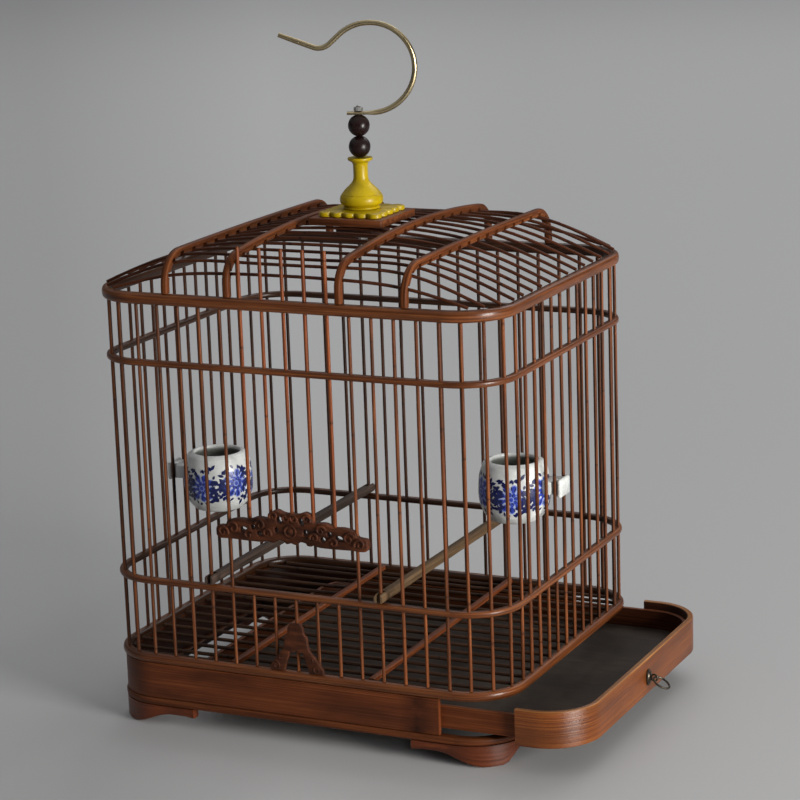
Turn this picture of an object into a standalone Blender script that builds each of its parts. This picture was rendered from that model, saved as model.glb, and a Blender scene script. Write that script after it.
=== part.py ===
# Bamboo bird cage with a sliding door, a pull-out tray, perches, feeding cups and a swivel hook.
# Metres, +Z up. The cage stands on its four feet at z = 0, with the front at -Y and the tray opening at +X.

import math

import bmesh
import bpy
import numpy as np
from mathutils import Matrix, Vector

# Driving sizes of the plan, on the centre line of the wall bars
CAGE_WIDTH = 0.317
CAGE_DEPTH = 0.260
CORNER_RADIUS = 0.036
FRONT_GAPS = 14
SIDE_GAPS = 11
CORNER_BARS = 3
LEAD_SHARE = 0.2

CORNERS = {
    "front_left": (-1, -1), "front_right": (1, -1), "back_left": (-1, 1), "back_right": (1, 1)
}

# Driving heights, from the table up
FOOT_HEIGHT = 0.0160
RAIL_HEIGHT = 0.0052
BAND_HEIGHT = 0.0269
SILL_HEIGHT = 0.007
LOWER_HOOP_RISE = 0.0565
UPPER_HOOP_DROP = 0.0430
WALL_HEIGHT = 0.2635
TOP_RING_HEIGHT = 0.0086
CLEAR = 0.0003
CUT_OVERRUN = 0.004

# Bamboo members
BAR_RADIUS = 0.00135
BAR_SIDES = 6
BAR_HOLE_SIDES = 8
HOOP_HEIGHT = 0.0048
HOOP_WIDTH = 0.0062
TOP_RING_WIDTH = 0.0078
SILL_WIDTH = 0.0074
EDGE_SHARE = 0.28
CORNER_STEPS = 6

# Base
RAIL_PROUD = 0.003
RAIL_WIDTH = 0.009
BAND_PROUD = 0.002
BAND_THICKNESS = 0.0045
BAND_STOP = 0.0121
FOOT_THICKNESS = 0.0075
FOOT_SET_BACK = 0.0004
FOOT_FRONT_LENGTH = 0.070
FOOT_SIDE_LENGTH = 0.060
FOOT_HEEL_LENGTH = 0.014
FOOT_END_DROP = 0.0068
FOOT_THIN_DROP = 0.0060
FOOT_FLARE_SHARE = 0.84
FOOT_FRONT_CURVE_SHARE = 0.66
FOOT_SIDE_CURVE_SHARE = 0.34
FOOT_CURVE_STEPS = 5
RUNNER_WIDTH = 0.006
RUNNER_INSET = 0.030
RUNNER_SEAT = 0.0008

# Floor grate
SLAT_RADIUS = 0.0014
SLAT_DROP = 0.0043
CROSS_BAR_PLACE = 0.056
CROSS_BAR_WIDTH = 0.005
CROSS_BAR_HEIGHT = 0.0036
CROSS_BAR_SEAT = 0.0007

# Tray
TRAY_OPENING = 0.058
TRAY_WALL = 0.0035
TRAY_WALL_HEIGHT = 0.017
TRAY_WALL_LIFT = 0.0042
TRAY_FLOOR = 0.003

# Tray pull
ROSETTE_RADIUS = 0.0064
ROSETTE_THICKNESS = 0.0012
ROSETTE_DOME = 0.001
ROSETTE_SHARES = ((0.00, 1.00), (0.45, 0.86), (0.80, 0.55), (1.00, 0.33), (1.00, 0.00), (0.00, 0.00))
PULL_DROP = 0.0006
EYE_RADIUS = 0.0024
EYE_WIRE = 0.0007
EYE_STEM_RADIUS = 0.0011
EYE_STAND = 0.0012
PULL_RING_RADIUS = 0.0064
PULL_RING_WIRE = 0.0008
PULL_RING_DROOP = 30.0

# Roof
RIB_WIDTH = 0.005
RIB_DEPTH = 0.006
INNER_RIB_PLACE = 0.0440
OUTER_RIB_PLACE = 0.0940
INNER_RIB_HEIGHT = 0.0346
OUTER_RIB_HEIGHT = 0.0274
INNER_RIB_BEND = 0.019
OUTER_RIB_BEND = 0.022
INNER_RIB_CROWN = 6.8
OUTER_RIB_CROWN = 0.9
RIB_BEND_STEPS = 5
RIB_CROWN_STEPS = 4
ROOF_BAR_RADIUS = 0.0012
ROOF_BAR_SEAT = 0.0004
ROOF_CORNER_ANGLES = (28.0, 46.0, 68.0)
ROOF_BAR_STEPS = (3, 2, 2)

# Hanger stack, from the roof up
ROOF_BLOCK_WIDTH = 0.059
ROOF_BLOCK_HEIGHT = 0.0055
CLAMP_WIDTH = 0.030
CLAMP_HEIGHT = 0.0066
WASHER_RADIUS = 0.0088
WASHER_HEIGHT = 0.0012
PETAL_WIDTH = 0.0496
PETAL_HEIGHT = 0.0034
PETAL_GAPS = 4
PETAL_START_ANGLE = 30.0
PETAL_STEPS = 4
VASE_HEIGHT = 0.0373
VASE_RADIUS = 0.0160
VASE_SHARES = (
    (0.57, 1.000), (0.57, 0.960), (0.38, 0.905), (0.34, 0.850), (0.34, 0.600), (0.40, 0.525), (0.56, 0.450),
    (0.79, 0.350), (0.94, 0.250), (1.00, 0.160), (0.97, 0.105), (0.84, 0.065), (0.78, 0.048), (0.85, 0.034),
    (0.85, 0.000),
)
BEAD_RADIUS = 0.0080
BEAD_FLAT_ANGLE = 72.0
BEAD_STEPS = 8
ROD_RADIUS = 0.0015
HOOK_WIRE = 0.002
HOOK_RADIUS = 0.0327
HOOK_TURN = 22.0
HOOK_SHIFT = 0.0095
HOOK_SWEEP = 222.0
HOOK_BACK_RUN = 0.009
HOOK_CURL_RADIUS = 0.012
HOOK_CURL_TURN = 66.0
HOOK_TIP = 0.026
HOOK_FOOT_LENGTH = 0.017
HOOK_FOOT_WIDTH = 0.0062
HOOK_FOOT_HEIGHT = 0.0024
NUT_RADIUS = 0.0034
NUT_HEIGHT = 0.0030
ROD_END = 0.0012

# Door
DOOR_SIDE_GAPS = 3
DOOR_LIFT = 0.0362
DOOR_BAR_TOP = 0.0005
PLAQUE_HALF_WIDTH = 0.0605
PLAQUE_HEIGHT = 0.025
PLAQUE_THICKNESS = 0.0062
PLAQUE_FRONT_SHARE = 0.62
DOOR_BAR_SEAT_SHARE = 0.50
BOSS_LEVEL_SHARE = 0.41
BOSS_RADIUS = 0.0050
BOSS_HEIGHT = 0.0014
PLAQUE_SHARES = (
    (1.000, 0.10), (1.000, 0.30), (0.970, 0.38), (0.870, 0.41), (0.850, 0.53), (0.780, 0.60), (0.680, 0.64),
    (0.580, 0.63), (0.520, 0.67), (0.450, 0.73), (0.360, 0.72), (0.310, 0.71), (0.280, 0.84), (0.240, 0.95),
    (0.180, 1.00), (0.110, 0.93), (0.050, 0.91), (0.000, 0.95),
)
PLAQUE_FOOT_SHARES = (
    (0.975, 0.03), (0.930, 0.00), (0.800, 0.02), (0.600, 0.00), (0.380, 0.01), (0.310, 0.06), (0.260, 0.02),
    (0.215, 0.03), (0.190, 0.10), (0.135, 0.12), (0.090, 0.08), (0.060, 0.02), (0.000, 0.06),
)
PIERCING_SHARES = (
    (0.630, 0.34, 0.085, 0.060), (0.505, 0.44, 0.050, 0.050), (0.420, 0.26, 0.060, 0.060),
    (0.147, 0.72, 0.060, 0.085), (0.190, 0.41, 0.045, 0.075),
)
CARVING_HALF_WIDTH = 0.0215
CARVING_HEIGHT = 0.0365
CARVING_THICKNESS = 0.0046
CARVING_SHARES = (
    (1.00, 0.00), (1.00, 0.09), (0.91, 0.16), (0.80, 0.24), (0.66, 0.35), (0.51, 0.46), (0.44, 0.58), (0.41, 0.72),
    (0.31, 0.79), (0.29, 0.90), (0.18, 1.00), (0.00, 1.00),
)
CARVING_INNER_SHARES = (
    (0.00, 0.44), (0.12, 0.40), (0.23, 0.42), (0.30, 0.31), (0.36, 0.20), (0.43, 0.09), (0.46, 0.00),
)

# Perches and cups
PERCH_RADIUS = 0.0037
PERCH_BAR = 4
PERCH_OVERHANG = 0.0055
PERCH_SLOT_DEPTH = 0.011
CUP_RADIUS = 0.0263
CUP_HEIGHT = 0.044
CUP_WALL = 0.0028
CUP_STAND_OFF = 0.035
CUP_LEFT_RISE = 0.082
CUP_RIGHT_RISE = 0.095
CUP_SHARES = (
    (0.62, 0.00), (0.74, 0.04), (0.88, 0.15), (0.97, 0.30), (1.00, 0.46), (0.99, 0.64), (0.96, 0.80), (0.89, 0.93),
    (0.80, 1.00),
)
CUP_RIM_SHARE = 0.66
CUP_GAP_INDEX = -1
LUG_HEIGHT_SHARE = 0.62
LUG_NECK_HEIGHT = 0.012
LUG_SHOULDER_STEP = 0.0015
LUG_BLOCK_WIDTH = 0.018
LUG_BLOCK_HEIGHT = 0.0135
LUG_BLOCK_THICKNESS = 0.0034

# Levels that follow from the heights
RAIL_BOTTOM = FOOT_HEIGHT + CLEAR
RAIL_TOP = RAIL_BOTTOM + RAIL_HEIGHT
BAND_BOTTOM = RAIL_TOP + CLEAR
BAND_TOP = BAND_BOTTOM + BAND_HEIGHT
SILL_BOTTOM = BAND_TOP + CLEAR
SILL_TOP = SILL_BOTTOM + SILL_HEIGHT
LOWER_HOOP = SILL_TOP + LOWER_HOOP_RISE
RING_BOTTOM = SILL_TOP + WALL_HEIGHT
UPPER_HOOP = RING_BOTTOM - UPPER_HOOP_DROP
RING_TOP = RING_BOTTOM + TOP_RING_HEIGHT

# Plan values that follow from the driving sizes
HALF_WIDTH = CAGE_WIDTH / 2
HALF_DEPTH = CAGE_DEPTH / 2
STRAIGHT_X = HALF_WIDTH - CORNER_RADIUS
STRAIGHT_Y = HALF_DEPTH - CORNER_RADIUS
FRONT_PITCH = 2 * STRAIGHT_X / (FRONT_GAPS + 2 * LEAD_SHARE)
SIDE_PITCH = 2 * STRAIGHT_Y / (SIDE_GAPS + 2 * LEAD_SHARE)
BAND_REACH = STRAIGHT_X - BAND_STOP
DOOR_EDGE = (DOOR_SIDE_GAPS - LEAD_SHARE) * FRONT_PITCH
PANEL_FACE = HALF_WIDTH + BAND_PROUD + TRAY_OPENING
PULL_X = PANEL_FACE + CLEAR + ROSETTE_THICKNESS + EYE_STAND + EYE_RADIUS
PULL_Z = (BAND_BOTTOM + BAND_TOP) / 2 - PULL_DROP
LUG_REACH = HALF_WIDTH + BAR_RADIUS + CLEAR + LUG_BLOCK_THICKNESS

# The row's origin is under the middle of everything, with the tray drawn out
OBJECT_RIGHT = PULL_X + 2 * PULL_RING_RADIUS * math.cos(math.radians(PULL_RING_DROOP)) + PULL_RING_WIRE
CENTRE_X = -(OBJECT_RIGHT - LUG_REACH) / 2

parts = None
cutters = None
frame = None
materials = {}


def clear_scene():
    for item in list(bpy.data.objects):
        bpy.data.objects.remove(item, do_unlink=True)


def make_collections():
    global parts, cutters, frame
    parts = bpy.data.collections.new("bird_cage")
    cutters = bpy.data.collections.new("cutters")
    bpy.context.scene.collection.children.link(parts)
    bpy.context.scene.collection.children.link(cutters)
    frame = bpy.data.objects.new("cage_centre", None)
    frame.location = (CENTRE_X, 0, 0)
    parts.objects.link(frame)
    bpy.context.view_layer.update()


def add_material(name, colour, roughness, metallic=0.0):
    material = bpy.data.materials.new(name)
    material.use_nodes = True
    shader = material.node_tree.nodes["Principled BSDF"]
    shader.inputs["Base Color"].default_value = (*colour, 1.0)
    shader.inputs["Roughness"].default_value = roughness
    shader.inputs["Metallic"].default_value = metallic
    materials[name] = material


def make_materials():
    add_material("stained_bamboo", (0.20, 0.055, 0.018), 0.35)
    add_material("dark_bamboo", (0.11, 0.035, 0.014), 0.42)
    add_material("carved_wood", (0.12, 0.032, 0.013), 0.50)
    add_material("perch_wood", (0.17, 0.075, 0.030), 0.60)
    add_material("tray_board", (0.035, 0.030, 0.028), 0.70)
    add_material("yellow_lacquer", (0.62, 0.48, 0.02), 0.30)
    add_material("dark_bead", (0.030, 0.010, 0.008), 0.25)
    add_material("brass_wire", (0.55, 0.42, 0.20), 0.25, 1.0)
    add_material("steel", (0.60, 0.60, 0.60), 0.25, 1.0)
    add_material("bronze", (0.06, 0.045, 0.03), 0.40, 1.0)
    add_material("porcelain", (0.70, 0.72, 0.74), 0.12)


def place(item, material, location=(0, 0, 0), rotation=(0, 0, 0)):
    item.parent = frame
    item.location = location
    item.rotation_euler = rotation
    item.data.materials.clear()
    item.data.materials.append(materials[material])
    return item


def hide_as_tool(item):
    item.hide_render = True
    item.display_type = "WIRE"
    return item


def new_object(name, mesh, as_tool=False):
    item = bpy.data.objects.new(name, mesh)
    (cutters if as_tool else parts).objects.link(item)
    if as_tool:
        hide_as_tool(item)
    return item


def smooth_sides(mesh, degrees=35.0):
    mesh.shade_smooth()
    mesh.set_sharp_from_angle(angle=math.radians(degrees))


def mesh_from(name, bm, as_tool=False):
    bmesh.ops.recalc_face_normals(bm, faces=bm.faces)
    mesh = bpy.data.meshes.new(name)
    bm.to_mesh(mesh)
    bm.free()
    smooth_sides(mesh)
    return new_object(name, mesh, as_tool)


def mesh_from_curve(name, curve, as_tool=False, width_profile=None):
    maker = bpy.data.objects.new(name + "_curve", curve)
    cutters.objects.link(maker)
    bpy.context.view_layer.update()
    graph = bpy.context.evaluated_depsgraph_get()
    mesh = bpy.data.meshes.new_from_object(maker.evaluated_get(graph), depsgraph=graph)
    bpy.data.objects.remove(maker, do_unlink=True)
    if width_profile:
        bpy.data.objects.remove(width_profile, do_unlink=True)
    bm = bmesh.new()
    bm.from_mesh(mesh)
    bmesh.ops.remove_doubles(bm, verts=bm.verts, dist=CLEAR / 30)
    bpy.data.meshes.remove(mesh)
    return mesh_from(name, bm, as_tool)


def add_spline(curve, points, cyclic):
    spline = curve.splines.new("POLY")
    spline.points.add(len(points) - 1)
    for slot, point in zip(spline.points, points):
        slot.co = (*point, 0.0, 1.0) if len(point) == 2 else (*point, 1.0)
    spline.use_cyclic_u = cyclic


def flat_plate(name, outlines, thickness, as_tool=False):
    # A filled outline in XY, from z = 0 to z = thickness
    curve = bpy.data.curves.new(name, "CURVE")
    curve.dimensions = "2D"
    curve.fill_mode = "BOTH"
    curve.extrude = thickness / 2
    for outline in outlines:
        add_spline(curve, outline, True)
    item = mesh_from_curve(name, curve, as_tool)
    item.data.transform(Matrix.Translation((0, 0, thickness / 2)))
    return item


def tube(name, points, radius, detail, cyclic=False, as_tool=False):
    curve = bpy.data.curves.new(name, "CURVE")
    curve.dimensions = "3D"
    curve.bevel_depth = radius
    curve.bevel_resolution = detail
    curve.use_fill_caps = not cyclic
    add_spline(curve, points, cyclic)
    return mesh_from_curve(name, curve, as_tool)


def swept_ring(name, path, section, cyclic=True, as_tool=False):
    # A closed section carried along a level path; section x is outwards, section y is up
    profile = bpy.data.curves.new(name + "_section", "CURVE")
    profile.dimensions = "2D"
    add_spline(profile, section, True)
    profile_object = bpy.data.objects.new(name + "_section", profile)
    cutters.objects.link(hide_as_tool(profile_object))
    curve = bpy.data.curves.new(name, "CURVE")
    curve.dimensions = "2D"
    curve.bevel_mode = "OBJECT"
    curve.bevel_object = profile_object
    curve.use_fill_caps = not cyclic
    add_spline(curve, path, cyclic)
    return mesh_from_curve(name, curve, as_tool, profile_object)


def box(name, size, centre, as_tool=False):
    bm = bmesh.new()
    bmesh.ops.create_cube(bm, size=1)
    bmesh.ops.scale(bm, vec=size, verts=bm.verts)
    bmesh.ops.translate(bm, vec=centre, verts=bm.verts)
    return mesh_from(name, bm, as_tool)


def add_cylinder(bm, radius, low, high, segments, turn=0.0):
    # Between two points that share a straight axis
    low, high = Vector(low), Vector(high)
    axis = high - low
    rotation = Vector((0, 0, 1)).rotation_difference(axis).to_matrix().to_4x4()
    matrix = Matrix.Translation((low + high) / 2) @ rotation @ Matrix.Rotation(turn, 4, "Z")
    bmesh.ops.create_cone(
        bm, cap_ends=True, segments=segments, radius1=radius, radius2=radius, depth=axis.length, matrix=matrix
    )


def cylinders(name, rows, radius, segments, as_tool=False):
    bm = bmesh.new()
    for low, high in rows:
        add_cylinder(bm, radius, low, high, segments, math.pi / segments)
    return mesh_from(name, bm, as_tool)


def turned(name, outline, segments, closed, as_tool=False):
    # A profile in XZ turned about Z; the outline runs down its outer side
    mesh = bpy.data.meshes.new(name)
    bm = bmesh.new()
    verts = [bm.verts.new((x, 0, z)) for x, z in outline]
    for first, second in zip(verts, verts[1:]):
        bm.edges.new((first, second))
    if closed:
        bm.edges.new((verts[-1], verts[0]))
    bm.to_mesh(mesh)
    bm.free()
    item = new_object(name, mesh, as_tool)
    screw = item.modifiers.new("turn", "SCREW")
    screw.steps = segments
    screw.render_steps = segments
    screw.use_merge_vertices = True
    screw.merge_threshold = CLEAR / 30
    screw.use_smooth_shade = True
    return item


def combine(target, tool, operation):
    modifier = target.modifiers.new(operation.lower(), "BOOLEAN")
    modifier.operation = operation
    modifier.solver = "EXACT"
    modifier.object = tool
    tool.parent = target
    return target


# Plan of the rounded rectangle that rings, hoops and walls share

def corner_point(sign_x, sign_y, radius, angle):
    # angle is 0 where the front or back straight ends and 90 degrees where the side begins
    x = sign_x * (STRAIGHT_X + radius * math.sin(angle))
    y = sign_y * (STRAIGHT_Y + radius * math.cos(angle))
    return (x, y)


def plan_loop(proud, steps=CORNER_STEPS):
    # Counterclockwise from the right end of the front straight
    radius = CORNER_RADIUS + proud
    angles = [math.pi / 2 * i / steps for i in range(steps + 1)]
    loop = [corner_point(1, -1, radius, a) for a in angles]
    loop += [corner_point(1, 1, radius, a) for a in reversed(angles)]
    loop += [corner_point(-1, 1, radius, a) for a in angles]
    loop += [corner_point(-1, -1, radius, a) for a in reversed(angles)]
    return loop


def rounded_section(width, height, edge_share=EDGE_SHARE):
    # Eight corners: a rectangle with its edges taken off
    x, y = width / 2, height / 2
    cut = edge_share * min(width, height)
    right = [(x - cut, -y), (x, -y + cut), (x, y - cut), (x - cut, y)]
    return right + [(-x, y) for x, y in reversed(right)]


def front_bar_x(index):
    return index * FRONT_PITCH


def side_bar_ys():
    return [(i - SIDE_GAPS / 2) * SIDE_PITCH for i in range(SIDE_GAPS + 1)]


def corner_bar_angles():
    lead_front = LEAD_SHARE * FRONT_PITCH
    lead_side = LEAD_SHARE * SIDE_PITCH
    arc = math.pi / 2 * CORNER_RADIUS
    gap = (lead_front + arc + lead_side) / (CORNER_BARS + 1)
    return [(gap * (i + 1) - lead_front) / CORNER_RADIUS for i in range(CORNER_BARS)]


def door_bar_xs():
    return [front_bar_x(i) for i in range(1 - DOOR_SIDE_GAPS, DOOR_SIDE_GAPS)]


# Walls

def front_bar_xs():
    return [front_bar_x(i - FRONT_GAPS // 2) for i in range(FRONT_GAPS + 1)]


def corner_hoop_path(sign_x, sign_y):
    # A quarter turn with a short straight lead at each end
    slit = CLEAR / 2
    lead = HOOP_WIDTH / 4
    angles = [math.pi / 2 * i / CORNER_STEPS for i in range(1, CORNER_STEPS)]
    path = [(STRAIGHT_X + slit, HALF_DEPTH), (STRAIGHT_X + lead, HALF_DEPTH)]
    path += [corner_point(1, 1, CORNER_RADIUS, a) for a in angles]
    path += [(HALF_WIDTH, STRAIGHT_Y + lead), (HALF_WIDTH, STRAIGHT_Y + slit)]
    return [(sign_x * x, sign_y * y) for x, y in path]


def make_wall(name, hoops, bars):
    # Hoops as path and level, bars as place and top
    section = rounded_section(HOOP_WIDTH, HOOP_HEIGHT)
    bm = bmesh.new()
    for path, level in hoops:
        hoop = swept_ring(name + "_hoop", path, section, cyclic=False, as_tool=True)
        hoop.data.transform(Matrix.Translation((0, 0, level)))
        bm.from_mesh(hoop.data)
        bpy.data.objects.remove(hoop, do_unlink=True)
    wall = mesh_from(name, bm)
    rows = [((x, y, SILL_TOP + CLEAR), (x, y, top)) for x, y, top in bars]
    combine(wall, cylinders(name + "_bars", rows, BAR_RADIUS, BAR_SIDES, as_tool=True), "UNION")
    return place(wall, "stained_bamboo")


def make_walls():
    slit = CLEAR / 2
    top = RING_BOTTOM - CLEAR
    levels = (LOWER_HOOP, UPPER_HOOP)
    for name, sign in (("wall_right", 1), ("wall_left", -1)):
        path = [(sign * HALF_WIDTH, -STRAIGHT_Y + slit), (sign * HALF_WIDTH, STRAIGHT_Y - slit)]
        bars = [(sign * HALF_WIDTH, y, top) for y in side_bar_ys()]
        make_wall(name, [(path, level) for level in levels], bars)
    for name, signs in CORNERS.items():
        path = corner_hoop_path(*signs)
        bars = [(*corner_point(*signs, CORNER_RADIUS, angle), top) for angle in corner_bar_angles()]
        make_wall("corner_" + name, [(path, level) for level in levels], bars)
    end = STRAIGHT_X - slit
    path = [(-end, HALF_DEPTH), (end, HALF_DEPTH)]
    make_wall("wall_back", [(path, level) for level in levels], [(x, HALF_DEPTH, top) for x in front_bar_xs()])


def make_front_wall():
    # Three pieces round the door opening; the left one carries the hoop over the door
    slit = CLEAR / 2
    end = STRAIGHT_X - slit
    top = RING_BOTTOM - CLEAR
    front = -HALF_DEPTH
    hoops = [([(-end, front), (-DOOR_EDGE - slit, front)], LOWER_HOOP)]
    hoops.append(([(-end, front), (DOOR_EDGE - slit, front)], UPPER_HOOP))
    left = make_wall("wall_front_left", hoops, [(x, front, top) for x in front_bar_xs() if x < -DOOR_EDGE])
    combine(left, door_bar_holes("upper_hoop_holes", UPPER_HOOP, HOOP_HEIGHT), "DIFFERENCE")
    path = [(DOOR_EDGE + slit, front), (end, front)]
    bars = [(x, front, top) for x in front_bar_xs() if x > DOOR_EDGE]
    make_wall("wall_front_right", [(path, LOWER_HOOP), (path, UPPER_HOOP)], bars)
    path = [(-DOOR_EDGE + slit, front), (DOOR_EDGE - slit, front)]
    make_wall("wall_front_low", [(path, LOWER_HOOP)], [(x, front, LOWER_HOOP) for x in door_bar_xs()])


def bar_hole_radius():
    # The flats of the hole clear the bar
    return (BAR_RADIUS + CLEAR) / math.cos(math.pi / BAR_HOLE_SIDES)


def door_bar_holes(name, level, height):
    reach = height / 2 + CUT_OVERRUN
    rows = [((x, -HALF_DEPTH, level - reach), (x, -HALF_DEPTH, level + reach)) for x in door_bar_xs()]
    return cylinders(name, rows, bar_hole_radius(), BAR_HOLE_SIDES, as_tool=True)


def make_rings():
    ring = swept_ring("top_ring", plan_loop(0), rounded_section(TOP_RING_WIDTH, TOP_RING_HEIGHT))
    ring.data.transform(Matrix.Translation((0, 0, (RING_BOTTOM + RING_TOP) / 2)))
    combine(ring, door_bar_holes("top_ring_holes", (RING_BOTTOM + RING_TOP) / 2, TOP_RING_HEIGHT), "DIFFERENCE")
    place(ring, "stained_bamboo")
    sill = swept_ring("sill_ring", plan_loop(0), rounded_section(SILL_WIDTH, SILL_HEIGHT))
    sill.data.transform(Matrix.Translation((0, 0, (SILL_BOTTOM + SILL_TOP) / 2)))
    place(sill, "stained_bamboo")


# Base

def make_rail():
    section = rounded_section(RAIL_WIDTH, RAIL_HEIGHT)
    rail = swept_ring("base_rail", plan_loop(RAIL_PROUD - RAIL_WIDTH / 2), section)
    rail.data.transform(Matrix.Translation((0, 0, (RAIL_BOTTOM + RAIL_TOP) / 2)))
    middle = HALF_DEPTH - RUNNER_INSET
    half = plan_half_width(middle + RUNNER_WIDTH / 2, BAND_PROUD - BAND_THICKNESS - CLEAR)
    low, high = RAIL_TOP - RUNNER_SEAT, BAND_BOTTOM + TRAY_WALL_LIFT - CLEAR
    for name, sign in (("tray_runner_front", -1), ("tray_runner_back", 1)):
        centre = (0, sign * middle, (low + high) / 2)
        combine(rail, box(name, (2 * half, RUNNER_WIDTH, high - low), centre, as_tool=True), "UNION")
    place(rail, "stained_bamboo")


def half_loop(proud, end_x, side):
    # The loop on one side of the tray opening, from the front end round to the back end
    radius = CORNER_RADIUS + proud
    angles = [math.pi / 2 * i / CORNER_STEPS for i in range(CORNER_STEPS + 1)]
    turn = [corner_point(side, -1, radius, a) for a in angles]
    turn += [corner_point(side, 1, radius, a) for a in reversed(angles)]
    reach = HALF_DEPTH + proud
    return [(end_x, -reach)] + turn + [(end_x, reach)]


def bent_board(name, proud, thickness, end_x, side, height):
    outer = half_loop(proud, end_x, side)
    inner = half_loop(proud - thickness, end_x, side)
    return flat_plate(name, [outer + list(reversed(inner))], height)


def make_band():
    band = bent_board("base_band", BAND_PROUD, BAND_THICKNESS, BAND_REACH, -1, BAND_HEIGHT)
    place(band, "stained_bamboo", (0, 0, BAND_BOTTOM))


def foot_edge(length, curve_share):
    # Lower edge from the far end to the heel, as distance from the bar line and height above the table
    run = length - FOOT_HEEL_LENGTH
    thin = FOOT_HEIGHT - FOOT_THIN_DROP
    points = [(length, FOOT_HEIGHT - FOOT_END_DROP), (FOOT_HEEL_LENGTH + FOOT_FLARE_SHARE * run, thin)]
    for i in range(FOOT_CURVE_STEPS + 1):
        share = 1 - i / FOOT_CURVE_STEPS
        height = thin * (1 - math.cos(math.pi * share)) / 2
        points.append((FOOT_HEEL_LENGTH + curve_share * run * share, height))
    return points


def make_foot(name, sign_x, sign_y):
    outer_gap = RAIL_PROUD - FOOT_SET_BACK
    angles = [math.pi / 2 * i / CORNER_STEPS for i in range(CORNER_STEPS + 1)]
    loops = []
    for proud in (outer_gap, outer_gap - FOOT_THICKNESS):
        turn = [corner_point(1, 1, CORNER_RADIUS + proud, a) for a in angles]
        start = (HALF_WIDTH - FOOT_FRONT_LENGTH, HALF_DEPTH + proud)
        end = (HALF_WIDTH + proud, HALF_DEPTH - FOOT_SIDE_LENGTH)
        loops.append([start] + turn + [end])
    plan = loops[0] + list(reversed(loops[1]))
    foot = flat_plate(name, [[(sign_x * x, sign_y * y) for x, y in plan]], FOOT_HEIGHT)
    legs = (
        ("front", FOOT_FRONT_LENGTH, FOOT_FRONT_CURVE_SHARE, HALF_WIDTH),
        ("side", FOOT_SIDE_LENGTH, FOOT_SIDE_CURVE_SHARE, HALF_DEPTH),
    )
    for leg, length, curve_share, centre in legs:
        edge = [(centre - along, up) for along, up in foot_edge(length, curve_share)]
        far = centre - length - CUT_OVERRUN
        outline = [(far, -CUT_OVERRUN), (far, edge[0][1])] + edge + [(edge[-1][0], -CUT_OVERRUN)]
        cutter = flat_plate(name + "_" + leg + "_cut", [outline], FOOT_THICKNESS + 4 * CUT_OVERRUN, as_tool=True)
        cutter.data.transform(Matrix.Rotation(math.pi / 2, 4, "X"))
        if leg == "front":
            shift = Vector((0, HALF_DEPTH + outer_gap + 2 * CUT_OVERRUN, 0))
            cutter.data.transform(Matrix.Translation(shift))
        else:
            shift = Vector((HALF_WIDTH + outer_gap - FOOT_THICKNESS - 2 * CUT_OVERRUN, 0, 0))
            cutter.data.transform(Matrix.Rotation(math.pi / 2, 4, "Z"))
            cutter.data.transform(Matrix.Translation(shift))
        cutter.data.transform(Matrix.Diagonal((sign_x, sign_y, 1, 1)))
        if sign_x * sign_y < 0:
            cutter.data.flip_normals()
        combine(foot, cutter, "DIFFERENCE")
    place(foot, "stained_bamboo")


def make_grate():
    level = SILL_TOP - SLAT_DROP
    inner = -SILL_WIDTH / 2 - CLEAR
    bm = bmesh.new()
    for y in side_bar_ys() + [s * roof_bar_y(a) for s in (-1, 1) for a in ROOF_CORNER_ANGLES[1:]]:
        half = plan_half_width(abs(y) + SLAT_RADIUS, inner)
        add_cylinder(bm, SLAT_RADIUS, (-half, y, level), (half, y, level), 6, math.pi / 6)
    grate = mesh_from("floor_grate", bm)
    half = HALF_DEPTH + inner
    bm = bmesh.new()
    for sign in (-1, 1):
        centre = (sign * CROSS_BAR_PLACE, 0, level + SLAT_RADIUS - CROSS_BAR_SEAT + CROSS_BAR_HEIGHT / 2)
        matrix = Matrix.Translation(centre) @ Matrix.Diagonal((CROSS_BAR_WIDTH, 2 * half, CROSS_BAR_HEIGHT, 1))
        bmesh.ops.create_cube(bm, size=1, matrix=matrix)
    combine(grate, mesh_from("grate_cross_bars", bm, as_tool=True), "UNION")
    place(grate, "dark_bamboo")


def plan_half_width(y, proud):
    # Half the width of the rounded rectangle at a given depth, the loop moved outwards by proud
    beyond = abs(y) - STRAIGHT_Y
    if beyond <= 0:
        return HALF_WIDTH + proud
    radius = CORNER_RADIUS + proud
    return STRAIGHT_X + math.sqrt(max(radius * radius - beyond * beyond, 0))


# Tray

def make_tray():
    panel = bent_board("tray_front", BAND_PROUD, BAND_THICKNESS, BAND_REACH + CLEAR, 1, BAND_HEIGHT)
    place(panel, "stained_bamboo", (TRAY_OPENING, 0, BAND_BOTTOM))
    wall_proud = BAND_PROUD - BAND_THICKNESS - CLEAR
    base = BAND_BOTTOM + TRAY_WALL_LIFT
    wall = flat_plate("tray_wall", [plan_loop(wall_proud), plan_loop(wall_proud - TRAY_WALL)], TRAY_WALL_HEIGHT)
    place(wall, "stained_bamboo", (TRAY_OPENING, 0, base))
    board = flat_plate("tray_floor", [plan_loop(wall_proud - TRAY_WALL - CLEAR)], TRAY_FLOOR)
    place(board, "tray_board", (TRAY_OPENING, 0, base))


def torus_points(radius, count, plane):
    points = []
    for i in range(count):
        angle = 2 * math.pi * i / count
        across, up = radius * math.cos(angle), radius * math.sin(angle)
        points.append((across, 0, up) if plane == "XZ" else (across, up, 0))
    return points


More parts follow.
